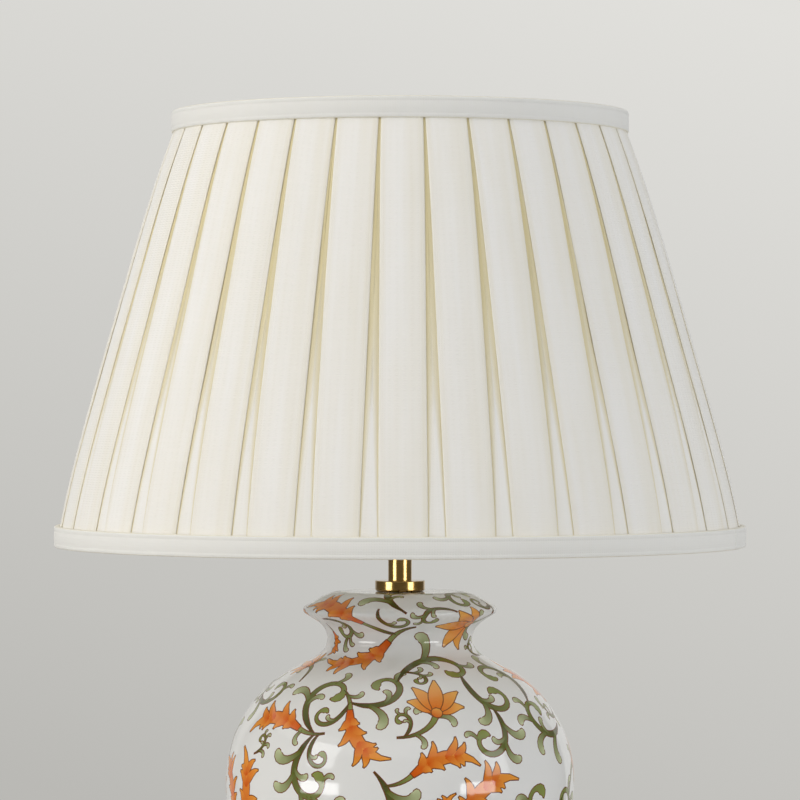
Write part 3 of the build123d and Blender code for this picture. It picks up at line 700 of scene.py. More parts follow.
@dataclass
class ScrollPrint:
    """All-over print of scrolling foliage: vines with hooked leaves, flowers, flame leaves and berries.

    It grows over the jar: each new shoot leaves an older stem and is kept if nothing is in its way.
    Lengths are in millimetres and turns in radians, and the parts of a motif are shares of its size.
    """

    outline: TurnedOutline
    bare: list[np.ndarray]  # rings of angle and way that stay without print
    seed: int = 11
    first_way: float = 8.0
    foot_margin: float = 33.0
    bare_edge: float = 7.0  # kept free round the points of a bare ring
    bare_middle: float = 9.0  # kept free round its middle
    clear: float = 1.7  # kept free beside a stroke
    columns: int = 900  # of the map of taken ground, which has one row per millimetre
    least_radius: float = 5.0  # of the jar on that map
    small: float = 8.0  # size under which only small motifs are drawn
    short_hook: float = 7.0  # length under which a hooked leaf has fewer points
    hook_points: tuple[int, int] = (8, 11)  # along a short hooked leaf and a longer one
    petal_points: int = 9
    berry_points: int = 7
    vine_points: int = 26
    vine_curl: tuple[float, float] = (0.85, 1.15)  # against the usual curl
    branch_turn: tuple[float, float] = (0.5, 1.1)  # of a branch against its stem
    branch_share: tuple[float, float] = (0.05, 0.8)  # of the stem, where branches leave it
    branch_size: tuple[float, float] = (0.9, 1.12)  # against the size of the round
    root_room: tuple[float, float] = (0.6, 2.0)  # round a root: share of the size, and more in millimetres
    # Rounds of growth: size of the motifs, places to plant at, tries to branch.
    sizes: tuple[tuple[float, int, int], ...] = (
        (22, 50, 700), (19, 80, 900), (16, 250, 1000), (13, 400, 1000), (10, 500, 900), (7.5, 400, 700))
    strokes: list[Stroke] = field(default_factory=list)
    stems: list[Stroke] = field(default_factory=list)
    hand: random.Random = field(init=False)
    taken: np.ndarray = field(init=False)
    last_way: float = field(init=False)
    widest: float = field(init=False)

    def __post_init__(self) -> None:
        """Seed the hand that draws and clear the ground."""
        self.hand = random.Random(self.seed)
        self.last_way = self.outline.length - self.foot_margin
        self.widest = float(self.outline.points[:, 0].max())
        self.taken = np.zeros((int(self.outline.length) + 2, self.columns), dtype=bool)
        for ring in self.bare:
            for angle, way in ring:
                self.block(angle, way, self.bare_edge)
            self.block(*ring.mean(axis=0), self.bare_middle)

    def draw(self, root: Root, length: float, bend: float, gather: float, share: np.ndarray,
             half: np.ndarray, tone: Tone, level: int = 0) -> Stroke:
        """Draw a stroke that bends more and more towards its tip.

        Args:
            root: where it starts.
            length: its length.
            bend: turn spread evenly over its length.
            gather: turn that gathers towards its tip.
            share: places of its points along it, 0 to 1.
            half: half widths at those places.
            tone: its colours.
            level: strokes of a higher level cover lower ones.

        Returns:
            The stroke.
        """
        heading = root.heading + bend * share + gather * share**3
        middle = (heading[1:] + heading[:-1]) / 2
        steps = np.diff(share) * length
        way = root.way + np.concatenate([[0], np.cumsum(np.sin(middle) * steps)])
        turns = np.cos(middle) * steps / self.outline.radius((way[1:] + way[:-1]) / 2)
        angle = root.angle + np.concatenate([[0], np.cumsum(turns)])
        return Stroke(angle, way, heading, half, tone, level)

    def hook(self, root: Root, length: float, side: int) -> Stroke:
        """Draw a leaf like a comma: thin at its root, full and curled in at its rounded tip.

        Args:
            root: where it starts.
            length: its length.
            side: side that it curls to.

        Returns:
            The leaf.
        """
        few, many = self.hook_points
        share = crowded(few if length < self.short_hook else many, power=1.6)
        thin, swell = 0.045, 0.125
        half = length * (thin + swell * share**1.3) * rounded(share, tip=0.26)
        return self.draw(root, length, bend=side * 0.5, gather=side * 2.3, share=share, half=half,
                         tone=Tone.HOOK)

    def pointed(self, root: Root, length: float, wide: float, bend: float, tone: Tone,
                level: int) -> Stroke:
        """Draw a petal or lobe that swells and runs out to a point.

        Args:
            root: where it starts.
            length: its length.
            wide: half its largest width.
            bend: turn spread over its length.
            tone: its colours.
            level: strokes of a higher level cover lower ones.

        Returns:
            The petal.
        """
        share = np.linspace(0, 1, self.petal_points)
        blunt_root, blunt_tip = 0.06, 0.985  # where the width stops running out
        early, full = 0.8, 0.85  # powers: widest before its middle, and fuller than a sine
        half = wide * np.sin(math.pi * np.clip(share, blunt_root, blunt_tip) ** early) ** full
        return self.draw(root, length, bend, gather=bend * 0.7, share=share, half=half, tone=tone,
                         level=level)

    def dot(self, root: Root, radius: float, level: int) -> Stroke:
        """Draw a round berry.

        Args:
            root: point of its edge that it hangs from.
            radius: its radius.
            level: strokes of a higher level cover lower ones.

        Returns:
            The berry.
        """
        blunt = 0.02  # left off at both ends
        share = np.linspace(blunt, 1 - blunt, self.berry_points)
        half = radius * np.sqrt(1 - (2 * share - 1) ** 2)
        return self.draw(root, 2 * radius, bend=0, gather=0, share=share, half=half, tone=Tone.BERRY,
                         level=level)

    def stalk(self, root: Root, size: float, length: float, bend: float, gather: float,
              widths: tuple[float, float], points: int) -> Stroke:
        """Draw a plain stem whose width changes evenly.

        Args:
            root: where it starts.
            size: size of its motif.
            length: its length against that size.
            bend: turn spread evenly over its length.
            gather: turn that gathers towards its tip.
            widths: half widths at its root and tip against the size.
            points: number of points along it.

        Returns:
            The stem.
        """
        half = size * np.linspace(*widths, points)
        return self.draw(root, length * size, bend, gather, np.linspace(0, 1, points), half, Tone.STEM)

    def shoot(self, root: Root, size: float, side: int) -> Motif:
        """Draw a vine that curls into a scroll, with hooked leaves mostly on its outer side.

        Args:
            root: where it starts.
            size: its size.
            side: side that it curls to.

        Returns:
            The vine, with its leaves as extras.
        """
        share = crowded(self.vine_points, power=1.25)
        thin, knob_at, knob_spread = 0.03, 0.93, 0.06
        swell = 0.055 * np.sin(math.pi * share**0.8)
        knob = 0.095 * np.exp(-(((share - knob_at) / knob_spread) ** 2))
        root_width, root_length = 0.2, 0.15  # it starts thin and fills out
        start = root_width + (1 - root_width) * np.minimum(1, share / root_length)
        half = size * (thin + swell + knob) * (rounded(share, tip=0.06) * start)
        curl = self.hand.uniform(*self.vine_curl)
        stem = self.draw(root, length=3.2 * size, bend=side * 1.6 * curl, gather=side * 4.3, share=share,
                         half=half, tone=Tone.STEM)
        outer = ((0.18, 1.05), (0.33, 0.95), (0.46, 0.8), (0.6, 0.62))  # share of the stem, length
        leaves = [[self.hook(stem.root_at(at, turn=-side * 0.45), length * size, -side)]
                  for at, length in outer]
        inner_root = stem.root_at(0.28, turn=side * 0.5)
        leaves.append([self.hook(inner_root, length=0.62 * size, side=side)])
        return Motif([stem], leaves)

    def flame_leaf(self, root: Root, size: float, side: int) -> Motif:
        """Draw a slender lobed leaf on a short stalk, which licks to one side.

        Args:
            root: where its stalk starts.
            size: its size.
            side: side that it licks to.

        Returns:
            The leaf with its stalk.
        """
        stalk = self.stalk(root, size, length=0.9, bend=-side * 0.7, gather=0, widths=(0.012, 0.06),
                           points=7)
        body = self.pointed(stalk.root_at(1.0, turn=0.0), length=2.3 * size, wide=0.19 * size,
                            bend=side * 0.9, tone=Tone.FLAME, level=1)
        strokes = [stalk, body]
        inner_share = 0.75  # lobes on the side that it licks to are shorter
        lobes = ((0.12, 0.5), (0.3, 0.72), (0.48, 0.74), (0.64, 0.56))  # share of the body, length
        for at, length in lobes:
            for lobe in (side, -side):
                reach = length * size * (inner_share if lobe == side else 1.0)
                strokes.append(self.pointed(body.root_at(at, turn=lobe * 0.42), reach, wide=0.11 * size,
                                            bend=lobe * 0.6, tone=Tone.FLAME, level=1))
        return Motif(strokes)

    def flower(self, root: Root, size: float, side: int) -> Motif:
        """Draw a fan of pointed petals on a bent stalk, with curled sepals.

        Args:
            root: where its stalk starts.
            size: its size.
            side: side that its stalk bends to.

        Returns:
            The flower, with its sepals as extras.
        """
        stalk = self.stalk(root, size, length=1.5, bend=side * 0.9, gather=side * 0.5,
                           widths=(0.012, 0.08), points=10)
        sepals = [[self.hook(stalk.root_at(0.9, turn=sepal * 1.0), length=0.7 * size, side=sepal)]
                  for sepal in SIDES]
        fan = ((-1.0, 0.85), (1.0, 0.85), (-0.55, 1.05), (0.55, 1.05), (0.0, 1.2))  # turn, length
        strokes = [stalk]
        for level, (turn, length) in enumerate(fan, start=2):
            strokes.append(self.pointed(stalk.root_at(1.0, turn), length * size, wide=0.2 * size,
                                        bend=turn * 0.4, tone=Tone.PETAL, level=level))
        strokes.append(self.dot(stalk.root_at(0.92, turn=0.0), radius=0.15 * size, level=len(fan) + 2))
        return Motif(strokes, sepals)

    def berries(self, root: Root, size: float, side: int) -> Motif:
        """Draw a thin tendril with berries along it.

        Args:
            root: where it starts.
            size: its size.
            side: side that it bends to.

        Returns:
            The tendril with its berries.
        """
        stem = self.stalk(root, size, length=2.0, bend=side * 1.5, gather=side * 1.8,
                          widths=(0.04, 0.04), points=14)
        dots = [self.dot(stem.root_at(at, turn=side * -1.3), radius=0.15 * size, level=1)
                for at in (0.4, 0.68, 1.0)]
        return Motif([stem, *dots])

    def spray(self, root: Root, size: float, side: int) -> Motif:
        """Draw two hooked leaves that fill a small gap.

        Args:
            root: where they start.
            size: their size.
            side: side that the first one curls to.

        Returns:
            The first leaf, with the second as an extra.
        """
        second_root = Root(root.angle, root.way, root.heading - side * 0.7)
        second = self.hook(second_root, length=1.1 * size, side=-side)
        return Motif([self.hook(root, length=1.5 * size, side=side)], [[second]])

    def cells(self, angle: np.ndarray, way: np.ndarray) -> tuple[np.ndarray, np.ndarray]:
        """Rows and columns of the ground's map for places on the jar."""
        columns = (angle / (2 * math.pi) * self.columns).astype(int) % self.columns
        return np.clip(way, 0, len(self.taken) - 1).astype(int), columns

    def block(self, angle: float, way: float, radius: float) -> None:
        """Mark the ground round a place as taken.

        Args:
            angle: angle of the place.
            way: its way along the outline.
            radius: how far round it.
        """
        middle = angle / (2 * math.pi) * self.columns
        for row in range(max(0, int(way - radius)), min(len(self.taken), int(way + radius) + 2)):
            wide = math.sqrt(max(0.0, radius**2 - (row + 0.5 - way) ** 2))
            jar_radius = max(self.least_radius, float(self.outline.radius(row)))
            reach = wide / jar_radius / (2 * math.pi) * self.columns
            columns = np.arange(int(middle - reach), int(middle + reach) + 1) % self.columns
            self.taken[row, columns] = True

    def fits(self, strokes: list[Stroke], root: Root, room: float) -> bool:
        """Whether strokes lie on the jar and clear of older ones, apart from round their root.

        Args:
            strokes: the strokes of one motif.
            root: where the motif leaves its stem.
            room: distance from the root within which it may touch.

        Returns:
            True if the motif can be kept.
        """
        for stroke in strokes:
            angle, way = stroke.edge(self.outline, 0.0).T
            if way.min() < self.first_way or way.max() > self.last_way:
                return False
            far = np.hypot((angle - root.angle) * self.outline.radius(way), way - root.way) > room
            if self.taken[self.cells(angle[far], way[far])].any():
                return False
        return True

    def keep(self, motif: Motif, root: Root, room: float) -> None:
        """Add a motif to the print if its body fits, with those of its extras that fit too.

        Args:
            motif: the motif.
            root: where it leaves its stem.
            room: distance from the root within which it may touch older strokes.
        """
        if not self.fits(motif.body, root, room):
            return
        extras = [extra for extra in motif.extras if self.fits(extra, root, room)]
        for stroke in sum(extras, motif.body):
            self.strokes.append(stroke)
            if stroke.tone is Tone.STEM:
                self.stems.append(stroke)
            for angle, way, half in zip(stroke.angle, stroke.way, stroke.half):
                self.block(angle, way, half + self.clear)

    def plant(self, size: float, tries: int) -> None:
        """Start flowers, flame leaves and vines where there is room for them.

        Args:
            size: size of the motifs.
            tries: number of places to look at.
        """
        motifs = (self.flame_leaf, self.shoot, self.flower, self.shoot, self.shoot)
        for number in range(tries):
            way = self.hand.uniform(self.first_way, self.last_way)
            if self.hand.random() * self.widest < float(self.outline.radius(way)):
                root = Root(self.hand.uniform(0, 2 * math.pi), way, self.hand.uniform(0, 2 * math.pi))
                motif = motifs[number % len(motifs)](root, size, self.hand.choice(SIDES))
                self.keep(motif, root, room=0.0)

    def branch(self, size: float, tries: int) -> None:
        """Let motifs branch off the stems where there is room for them.

        Args:
            size: size of the motifs.
            tries: number of places to look at.
        """
        motifs: tuple[Callable[[Root, float, int], Motif], ...] = (
            self.shoot, self.flame_leaf, self.shoot, self.shoot, self.flower, self.shoot)
        if size < self.small:
            motifs = (self.spray, self.shoot, self.spray, self.berries)
        room_share, room_more = self.root_room
        for number in range(tries):
            turn = self.hand.choice(SIDES) * self.hand.uniform(*self.branch_turn)
            stem = self.hand.choice(self.stems)
            root = stem.root_at(self.hand.uniform(*self.branch_share), turn)
            branch_size = size * self.hand.uniform(*self.branch_size)
            motif = motifs[number % len(motifs)](root, branch_size, self.hand.choice(SIDES))
            self.keep(motif, root, room_share * size + room_more)

    def grow(self) -> None:
        """Plant and branch with ever smaller motifs until the jar is covered."""
        for size, places, tries in self.sizes:
            self.plant(size, places)
            self.branch(size, tries)


def wound_round(places: np.ndarray, ring: np.ndarray) -> np.ndarray:
    """Which places a closed ring goes round.

    Args:
        places: one row of two coordinates per place.
        ring: points of the ring in order.

    Returns:
        True for each place inside.
    """
    x, y = places[:, :1], places[:, 1:]
    (x0, y0), (x1, y1) = ring.T, np.roll(ring, -1, axis=0).T
    side = (x1 - x0) * (y - y0) - (x - x0) * (y1 - y0)
    up = (y0 <= y) & (y1 > y) & (side > 0)
    down = (y0 > y) & (y1 <= y) & (side < 0)
    return up.sum(axis=1) != down.sum(axis=1)


@dataclass
class Patch:
    """Part of the jar's mesh: points, outward normals and triangles."""

    points: np.ndarray
    normals: np.ndarray
    faces: np.ndarray
    places: np.ndarray  # angle and way of each point


@dataclass
class PorcelainJar:
    """The jar: a turned, glazed body with its print, hollow, with a cord hole at the back of its foot."""

    base_height: float = 2.0
    height: float = 279.7
    belly_radius: float = 108.6  # also the scale of the flat map, which is as wide as the belly is round
    wall: float = 5.0
    floor: float = 13.0
    rod_hole: float = 5.3
    floor_hole: float = 30.0
    rebate_radius: float = 58.0
    rebate_depth: float = 9.0
    inlet_height: float = 24.0
    spot_plane: float = 65.6
    spot_radius: float = 7.75
    hole_radius: float = 5.25
    inner_flatness: float = 0.2  # of the mesh inside, which hardly shows
    row_gap: float = 5.0  # largest gap between rows of mesh points
    ring_count: int = 96  # points round both ends and round the rows inside
    least_count: int = 40  # points round a row outside
    count_per_radius: float = 1.3
    seam_room: float = 0.5  # left free of points beside the seam
    weld: float = 1e-4  # distance within which points of the flat map are one
    hole_count: int = 32
    seam_angle: float = math.radians(-150)
    brush_line: float = 0.62
    line_colour: str = "#763F1E"

    @property
    def seams(self) -> tuple[float, float]:
        """Both edges of the flat map, which meet at the seam."""
        return self.seam_angle * self.belly_radius, (self.seam_angle + 2 * math.pi) * self.belly_radius

    def outside(self) -> TurnedOutline:
        """Outline of the outside, from the rod hole down to the rebate under the foot.

        Returns:
            The outline.
        """
        return TurnedOutline([
            (self.rod_hole, self.height, 0.0),
            (43.4, self.height, 30.0),  # crown
            (63.0, 268.4, 2.7),  # lip
            (32.8, 249.7, 12.2),  # throat
            (self.belly_radius, 210.0, 79.3),  # shoulder
            (self.belly_radius, 116.0, 199.6),  # belly
            (64.0, 20.0, 40.0),  # waist
            (70.0, 0.0, 1.5),  # foot
            (self.rebate_radius, 0.0, 0.0),
        ], self.base_height)

    def inside(self, outer: TurnedOutline) -> TurnedOutline:
        """Outline of the inside, with the floor and the rebate.

        Args:
            outer: outline of the outside.

        Returns:
            The outline, between the same ends.
        """
        crown, lip, throat, shoulder, belly, waist, _ = outer.drawn_in(self.wall)
        return TurnedOutline([
            (self.rod_hole, self.height, 0.0),
            (self.rod_hole, crown[1], 0.0),
            crown, lip, throat, shoulder, belly,
            (waist[0], waist[1], 0.0),
            (waist[0], self.floor, 0.0),
            (self.floor_hole, self.floor, 0.0),
            (self.floor_hole, self.rebate_depth, 0.0),
            (self.rebate_radius, self.rebate_depth, 0.0),
            (self.rebate_radius, 0.0, 0.0),
        ], self.base_height, flatness=self.inner_flatness)

    def build(self) -> None:
        """Grow the print, mesh the body and dress it."""
        outer = self.outside()
        inner = self.inside(outer)
        spot = outer.circle_at_back(self.spot_radius, self.inlet_height, self.hole_count)
        hole = inner.circle_at_back(self.hole_radius, self.inlet_height, self.hole_count)
        scroll_print = ScrollPrint(outer, [spot])
        scroll_print.grow()
        LOG.info("print: %d strokes", len(scroll_print.strokes))
        edges = self.print_edges(scroll_print)
        skin = self.mesh(outer, [ring for ring, _, _ in edges], spot, Facing.OUTWARDS)
        colours = self.colours(skin, edges, outer)
        lining = self.mesh(inner, [], hole, Facing.INWARDS)
        piece = self.join(skin, lining, self.inlet(outer, inner, spot, hole), colours)
        settle(piece, "base", "jar_body", PORCELAIN)

    def print_edges(self, scroll_print: ScrollPrint) -> list[tuple[np.ndarray, int, Stroke]]:
        """Edges of the print on the flat map, each with its rank and its stroke.

        Args:
            scroll_print: the finished print.

        Returns:
            Rings, brush lines first and fills over them, those that cross the seam on both sides of it.
        """
        edges = []
        first, last = self.seams
        for stroke in scroll_print.strokes:
            turns = math.floor((stroke.angle.mean() - self.seam_angle) / (2 * math.pi))
            stroke.angle -= turns * 2 * math.pi
            for rank, margin in ((2 * stroke.level, self.brush_line), (2 * stroke.level + 1, 0.0)):
                ring = stroke.edge(scroll_print.outline, margin) * (self.belly_radius, 1)
                edges.append((ring, rank, stroke))
                if ring[:, 0].min() < first:
                    edges.append((ring + (last - first, 0), rank, stroke))
                if ring[:, 0].max() > last:
                    edges.append((ring - (last - first, 0), rank, stroke))
        return edges

    def mesh(self, outline: TurnedOutline, rings: list[np.ndarray], hole: np.ndarray,
             facing: Facing) -> Patch:
        """Triangulate a turned surface on its flat map, with rings as edges and a hole left open.

        Args:
            outline: the surface's outline.
            rings: closed edges to keep, on the flat map.
            hole: angles and ways of the hole's edge.
            facing: side that is open.

        Returns:
            The patch.
        """
        first, last = self.seams
        rows = outline.rows(self.row_gap)
        points, edges = [], []
        for number, way in enumerate(rows):
            at_end = number in (0, len(rows) - 1)
            count = self.ring_count
            if facing is Facing.OUTWARDS and not at_end:
                count = max(self.least_count, round(float(outline.radius(way)) * self.count_per_radius))
            shift = 0.0 if at_end else 0.5 * (number % 2)  # every other row stands half a gap aside
            spread = np.linspace(first, last, count + 1)[1:-1] + shift * (last - first) / count
            points.extend((u, way) for u in [first, *spread[spread < last - self.seam_room], last])
        for edge in (first, last):
            start = len(points)
            points.extend((edge, way) for way in rows)
            edges.extend((start + n, start + n + 1) for n in range(len(rows) - 1))
        hole_ring = hole * (self.belly_radius, 1)
        for ring in [*rings, hole_ring]:
            start, count = len(points), len(ring)
            points.extend(map(tuple, ring))
            edges.extend((start + n, start + (n + 1) % count) for n in range(count))
        corners = [Vector(point) for point in points]
        places, _, faces, *_ = delaunay_2d_cdt(corners, edges, [], 0, self.weld, False)
        flat, faces = np.array([tuple(place) for place in places]), np.array(faces)
        middles = flat[faces].mean(axis=1)
        kept = (middles[:, 0] > first) & (middles[:, 0] < last)
        kept &= ~wound_round(middles, hole_ring)
        faces = faces[kept]
        if facing is Facing.OUTWARDS:
            faces = faces[:, ::-1]
        angle, way = flat[:, 0] / self.belly_radius, flat[:, 1]
        return Patch(outline.place(angle, way), outline.facing(angle, way), faces, flat)

    def colours(self, skin: Patch, edges: list[tuple[np.ndarray, int, Stroke]],
                outline: TurnedOutline) -> np.ndarray:
        """Colours of the print at the corners of each triangle, with its cover as alpha.

        Args:
            skin: the printed patch.
            edges: rings of the print with their ranks and strokes.
            outline: the jar's outline.

        Returns:
            Linear red, green, blue and alpha for each corner.
        """
        middles = skin.places[skin.faces].mean(axis=1)
        order = np.argsort(middles[:, 0])
        sorted_u = middles[order, 0]
        best = np.full(len(middles), -1)
        colours = np.zeros((len(middles), 3, 4))
        line = np.array(linear(self.line_colour))
        for ring, rank, stroke in edges:
            (low_u, low_way), (high_u, high_way) = ring.min(axis=0), ring.max(axis=0)
            near = order[np.searchsorted(sorted_u, low_u):np.searchsorted(sorted_u, high_u)]
            near = near[(middles[near, 1] > low_way) & (middles[near, 1] < high_way) & (best[near] <= rank)]
            near = near[wound_round(middles[near], ring)] if len(near) else near
            if not len(near):
                continue
            best[near] = rank
            if rank % 2 == 0:
                colours[near] = line
                continue
            corners = skin.places[skin.faces[near]].reshape(-1, 2)
            shift = round((ring[:, 0].mean() / self.belly_radius - stroke.angle.mean()) / (2 * math.pi))
            angle = stroke.angle + shift * 2 * math.pi
            scale = float(outline.radius(stroke.way.mean()))
            aside = (corners[:, :1] / self.belly_radius - angle) * scale
            gap = np.hypot(aside, corners[:, 1:] - stroke.way)
            share = np.argmin(gap, axis=1)[:, None] / (len(angle) - 1)
            dark, light = (np.array(linear(code)) for code in stroke.tone.value)
            colours[near] = (dark + (light - dark) * share).reshape(-1, 3, 4)
        return colours

    def inlet(self, outer: TurnedOutline, inner: TurnedOutline, spot: np.ndarray,
              hole: np.ndarray) -> Patch:
        """Spot face and bore of the cord hole, as rings from the outside to the inside.

        Args:
            outer: outline of the outside.
            inner: outline of the inside.
            spot: angles and ways of the spot face's edge.
            hole: angles and ways of the bore's inner edge.

        Returns:
            The patch.
        """
        turn = np.linspace(0, 2 * math.pi, self.hole_count, endpoint=False)
        rings = [outer.place(*spot.T)]
        for radius in (self.spot_radius, self.hole_radius):
            rings.append(np.stack([radius * np.sin(turn), np.full(self.hole_count, self.spot_plane),
                                   self.inlet_height + radius * np.cos(turn)], axis=1) * MM)
        rings.append(inner.place(*hole.T))
        faces = []
        for level in range(len(rings) - 1):
            for n in range(self.hole_count):
                a, b = level * self.hole_count + n, level * self.hole_count + (n + 1) % self.hole_count
                faces.extend([(a, a + self.hole_count, b), (b, a + self.hole_count, b + self.hole_count)])
        points = np.concatenate(rings)
        return Patch(points, np.zeros_like(points), np.array(faces), np.zeros((len(points), 2)))

    def join(self, skin: Patch, lining: Patch, inlet: Patch, colours: np.ndarray) -> MeshObject:
        """Weld the patches into one closed body with its print and true normals.

        Args:
            skin: the outside.
            lining: the inside with the floor and the rebate.
            inlet: the cord hole.
            colours: the print on the outside's corners.

        Returns:
            The jar.
        """
        patches = (skin, lining, inlet)
        starts = np.cumsum([0] + [len(patch.points) for patch in patches])
        points = np.concatenate([patch.points for patch in patches])
        faces = np.concatenate([patch.faces + start for patch, start in zip(patches, starts)])
        normals = np.concatenate([skin.normals[skin.faces],
                                  np.zeros((len(lining.faces) + len(inlet.faces), 3, 3))])
        cover = np.concatenate([colours, np.zeros((len(faces) - len(colours), 3, 4))])
        micrometres = np.round(points / (MM * MM))
        _, first, welded = np.unique(micrometres, axis=0, return_index=True, return_inverse=True)
        faces = welded.reshape(-1)[faces]
        whole = (faces[:, 0] != faces[:, 1]) & (faces[:, 1] != faces[:, 2]) & (faces[:, 2] != faces[:, 0])
        faces, normals, cover = faces[whole], normals[whole], cover[whole]
        used, packed = np.unique(faces, return_inverse=True)
        piece = new_piece("glazed_jar", points[first][used], packed.reshape(-1, 3).tolist())
        smooth = np.any(normals != 0, axis=(1, 2))
        piece.data.polygons.foreach_set("use_smooth", smooth)
        layer = piece.data.color_attributes.new("print", "FLOAT_COLOR", "CORNER")
        layer.data.foreach_set("color", cover.astype(np.float32).ravel())
        piece.data.normals_split_custom_set(normals.reshape(-1, 3).tolist())
        return piece


@dataclass
class ShadeForm:
    """Sizes that the shade's cloth pieces share, in millimetres; heights count from its lower edge."""

    base: float = 310.1
    height: float = 270.0
    cone_start: float = 4.0
    cone_radius: float = 212.8
    taper: float = 0.28656  # loss of radius per millimetre of height
    swell: float = 4.1
    trim_height: float = 13.0
    bottom_radius: float = 215.0
    top_radius: float = 142.5
    turn_in: float = 10.0
    leg_inset: float = 9.4

    def cone(self, height: np.ndarray) -> np.ndarray:
        """Radius of the straight cone at a height."""
        return self.cone_radius - self.taper * (height - self.cone_start)

    def slant(self, low: float, high: float) -> float:
        """Length along the cone between two heights."""
        return (high - low) * math.hypot(1, self.taper)


class ShadeEnd(Enum):
    """Ends of the shade, each with the direction from it into the shade."""

    LOWER = 1
    UPPER = -1


def ripple_at(angle: float, ripples: float, level: float) -> float:
    """Smooth noise from -1 to 1 that joins up round the lamp."""
    return noise.noise(Vector((math.sin(angle) * ripples, math.cos(angle) * ripples, level)))


def cloth_map(across: np.ndarray, up: np.ndarray) -> np.ndarray:
    """Places on the flat cloth, in metres, of columns and rows in millimetres."""
    return np.stack(np.broadcast_arrays(across[None, :], up[:, None]), axis=2) * MM


def cloth_ring(name: str, angle: np.ndarray, radius: np.ndarray, height: np.ndarray,
               cloth: np.ndarray, fold: np.ndarray, closed_rows: bool = False) -> MeshObject:
    """Make a cloth ring from rows and columns of points.

    Args:
        name: the piece's name.
        angle: angle from the front towards +X of each point, rows by columns.
        radius: radius of each point, in millimetres.
        height: height of each point, in millimetres.
        cloth: place of each point on the flat cloth, in metres, with one column more for the seam.
        fold: painted shade at each point, as the share of the folds' darker colour that it takes, 0 to 1.
        closed_rows: whether the last row joins the first.

    Returns:
        The piece, with its cloth map and its fold attribute of painted shade.
    """
    rows, columns = angle.shape
    points = np.stack([radius * np.sin(angle), -radius * np.cos(angle), height], axis=2) * MM
    faces, corners = [], []
    for row in range(rows if closed_rows else rows - 1):
        above = (row + 1) % rows
        for column in range(columns):
            beside = (column + 1) % columns
            faces.append((row * columns + column, row * columns + beside,
                          above * columns + beside, above * columns + column))
            corners.extend((cloth[row, column], cloth[row, column + 1],
                            cloth[row + 1, column + 1], cloth[row + 1, column]))
    piece = new_piece(name, points.reshape(-1, 3), faces)
    layer = piece.data.uv_layers.new(name="cloth")
    layer.data.foreach_set("uv", np.array(corners, dtype=np.float32).ravel())
    # The fold attribute carries painted shade, which the cloth's material turns into its darker colour.
    depth = piece.data.attributes.new("fold", "FLOAT", "POINT")
    depth.data.foreach_set("value", fold.astype(np.float32).ravel())
    select_only(piece)
    bpy.ops.object.shade_smooth()
    return piece


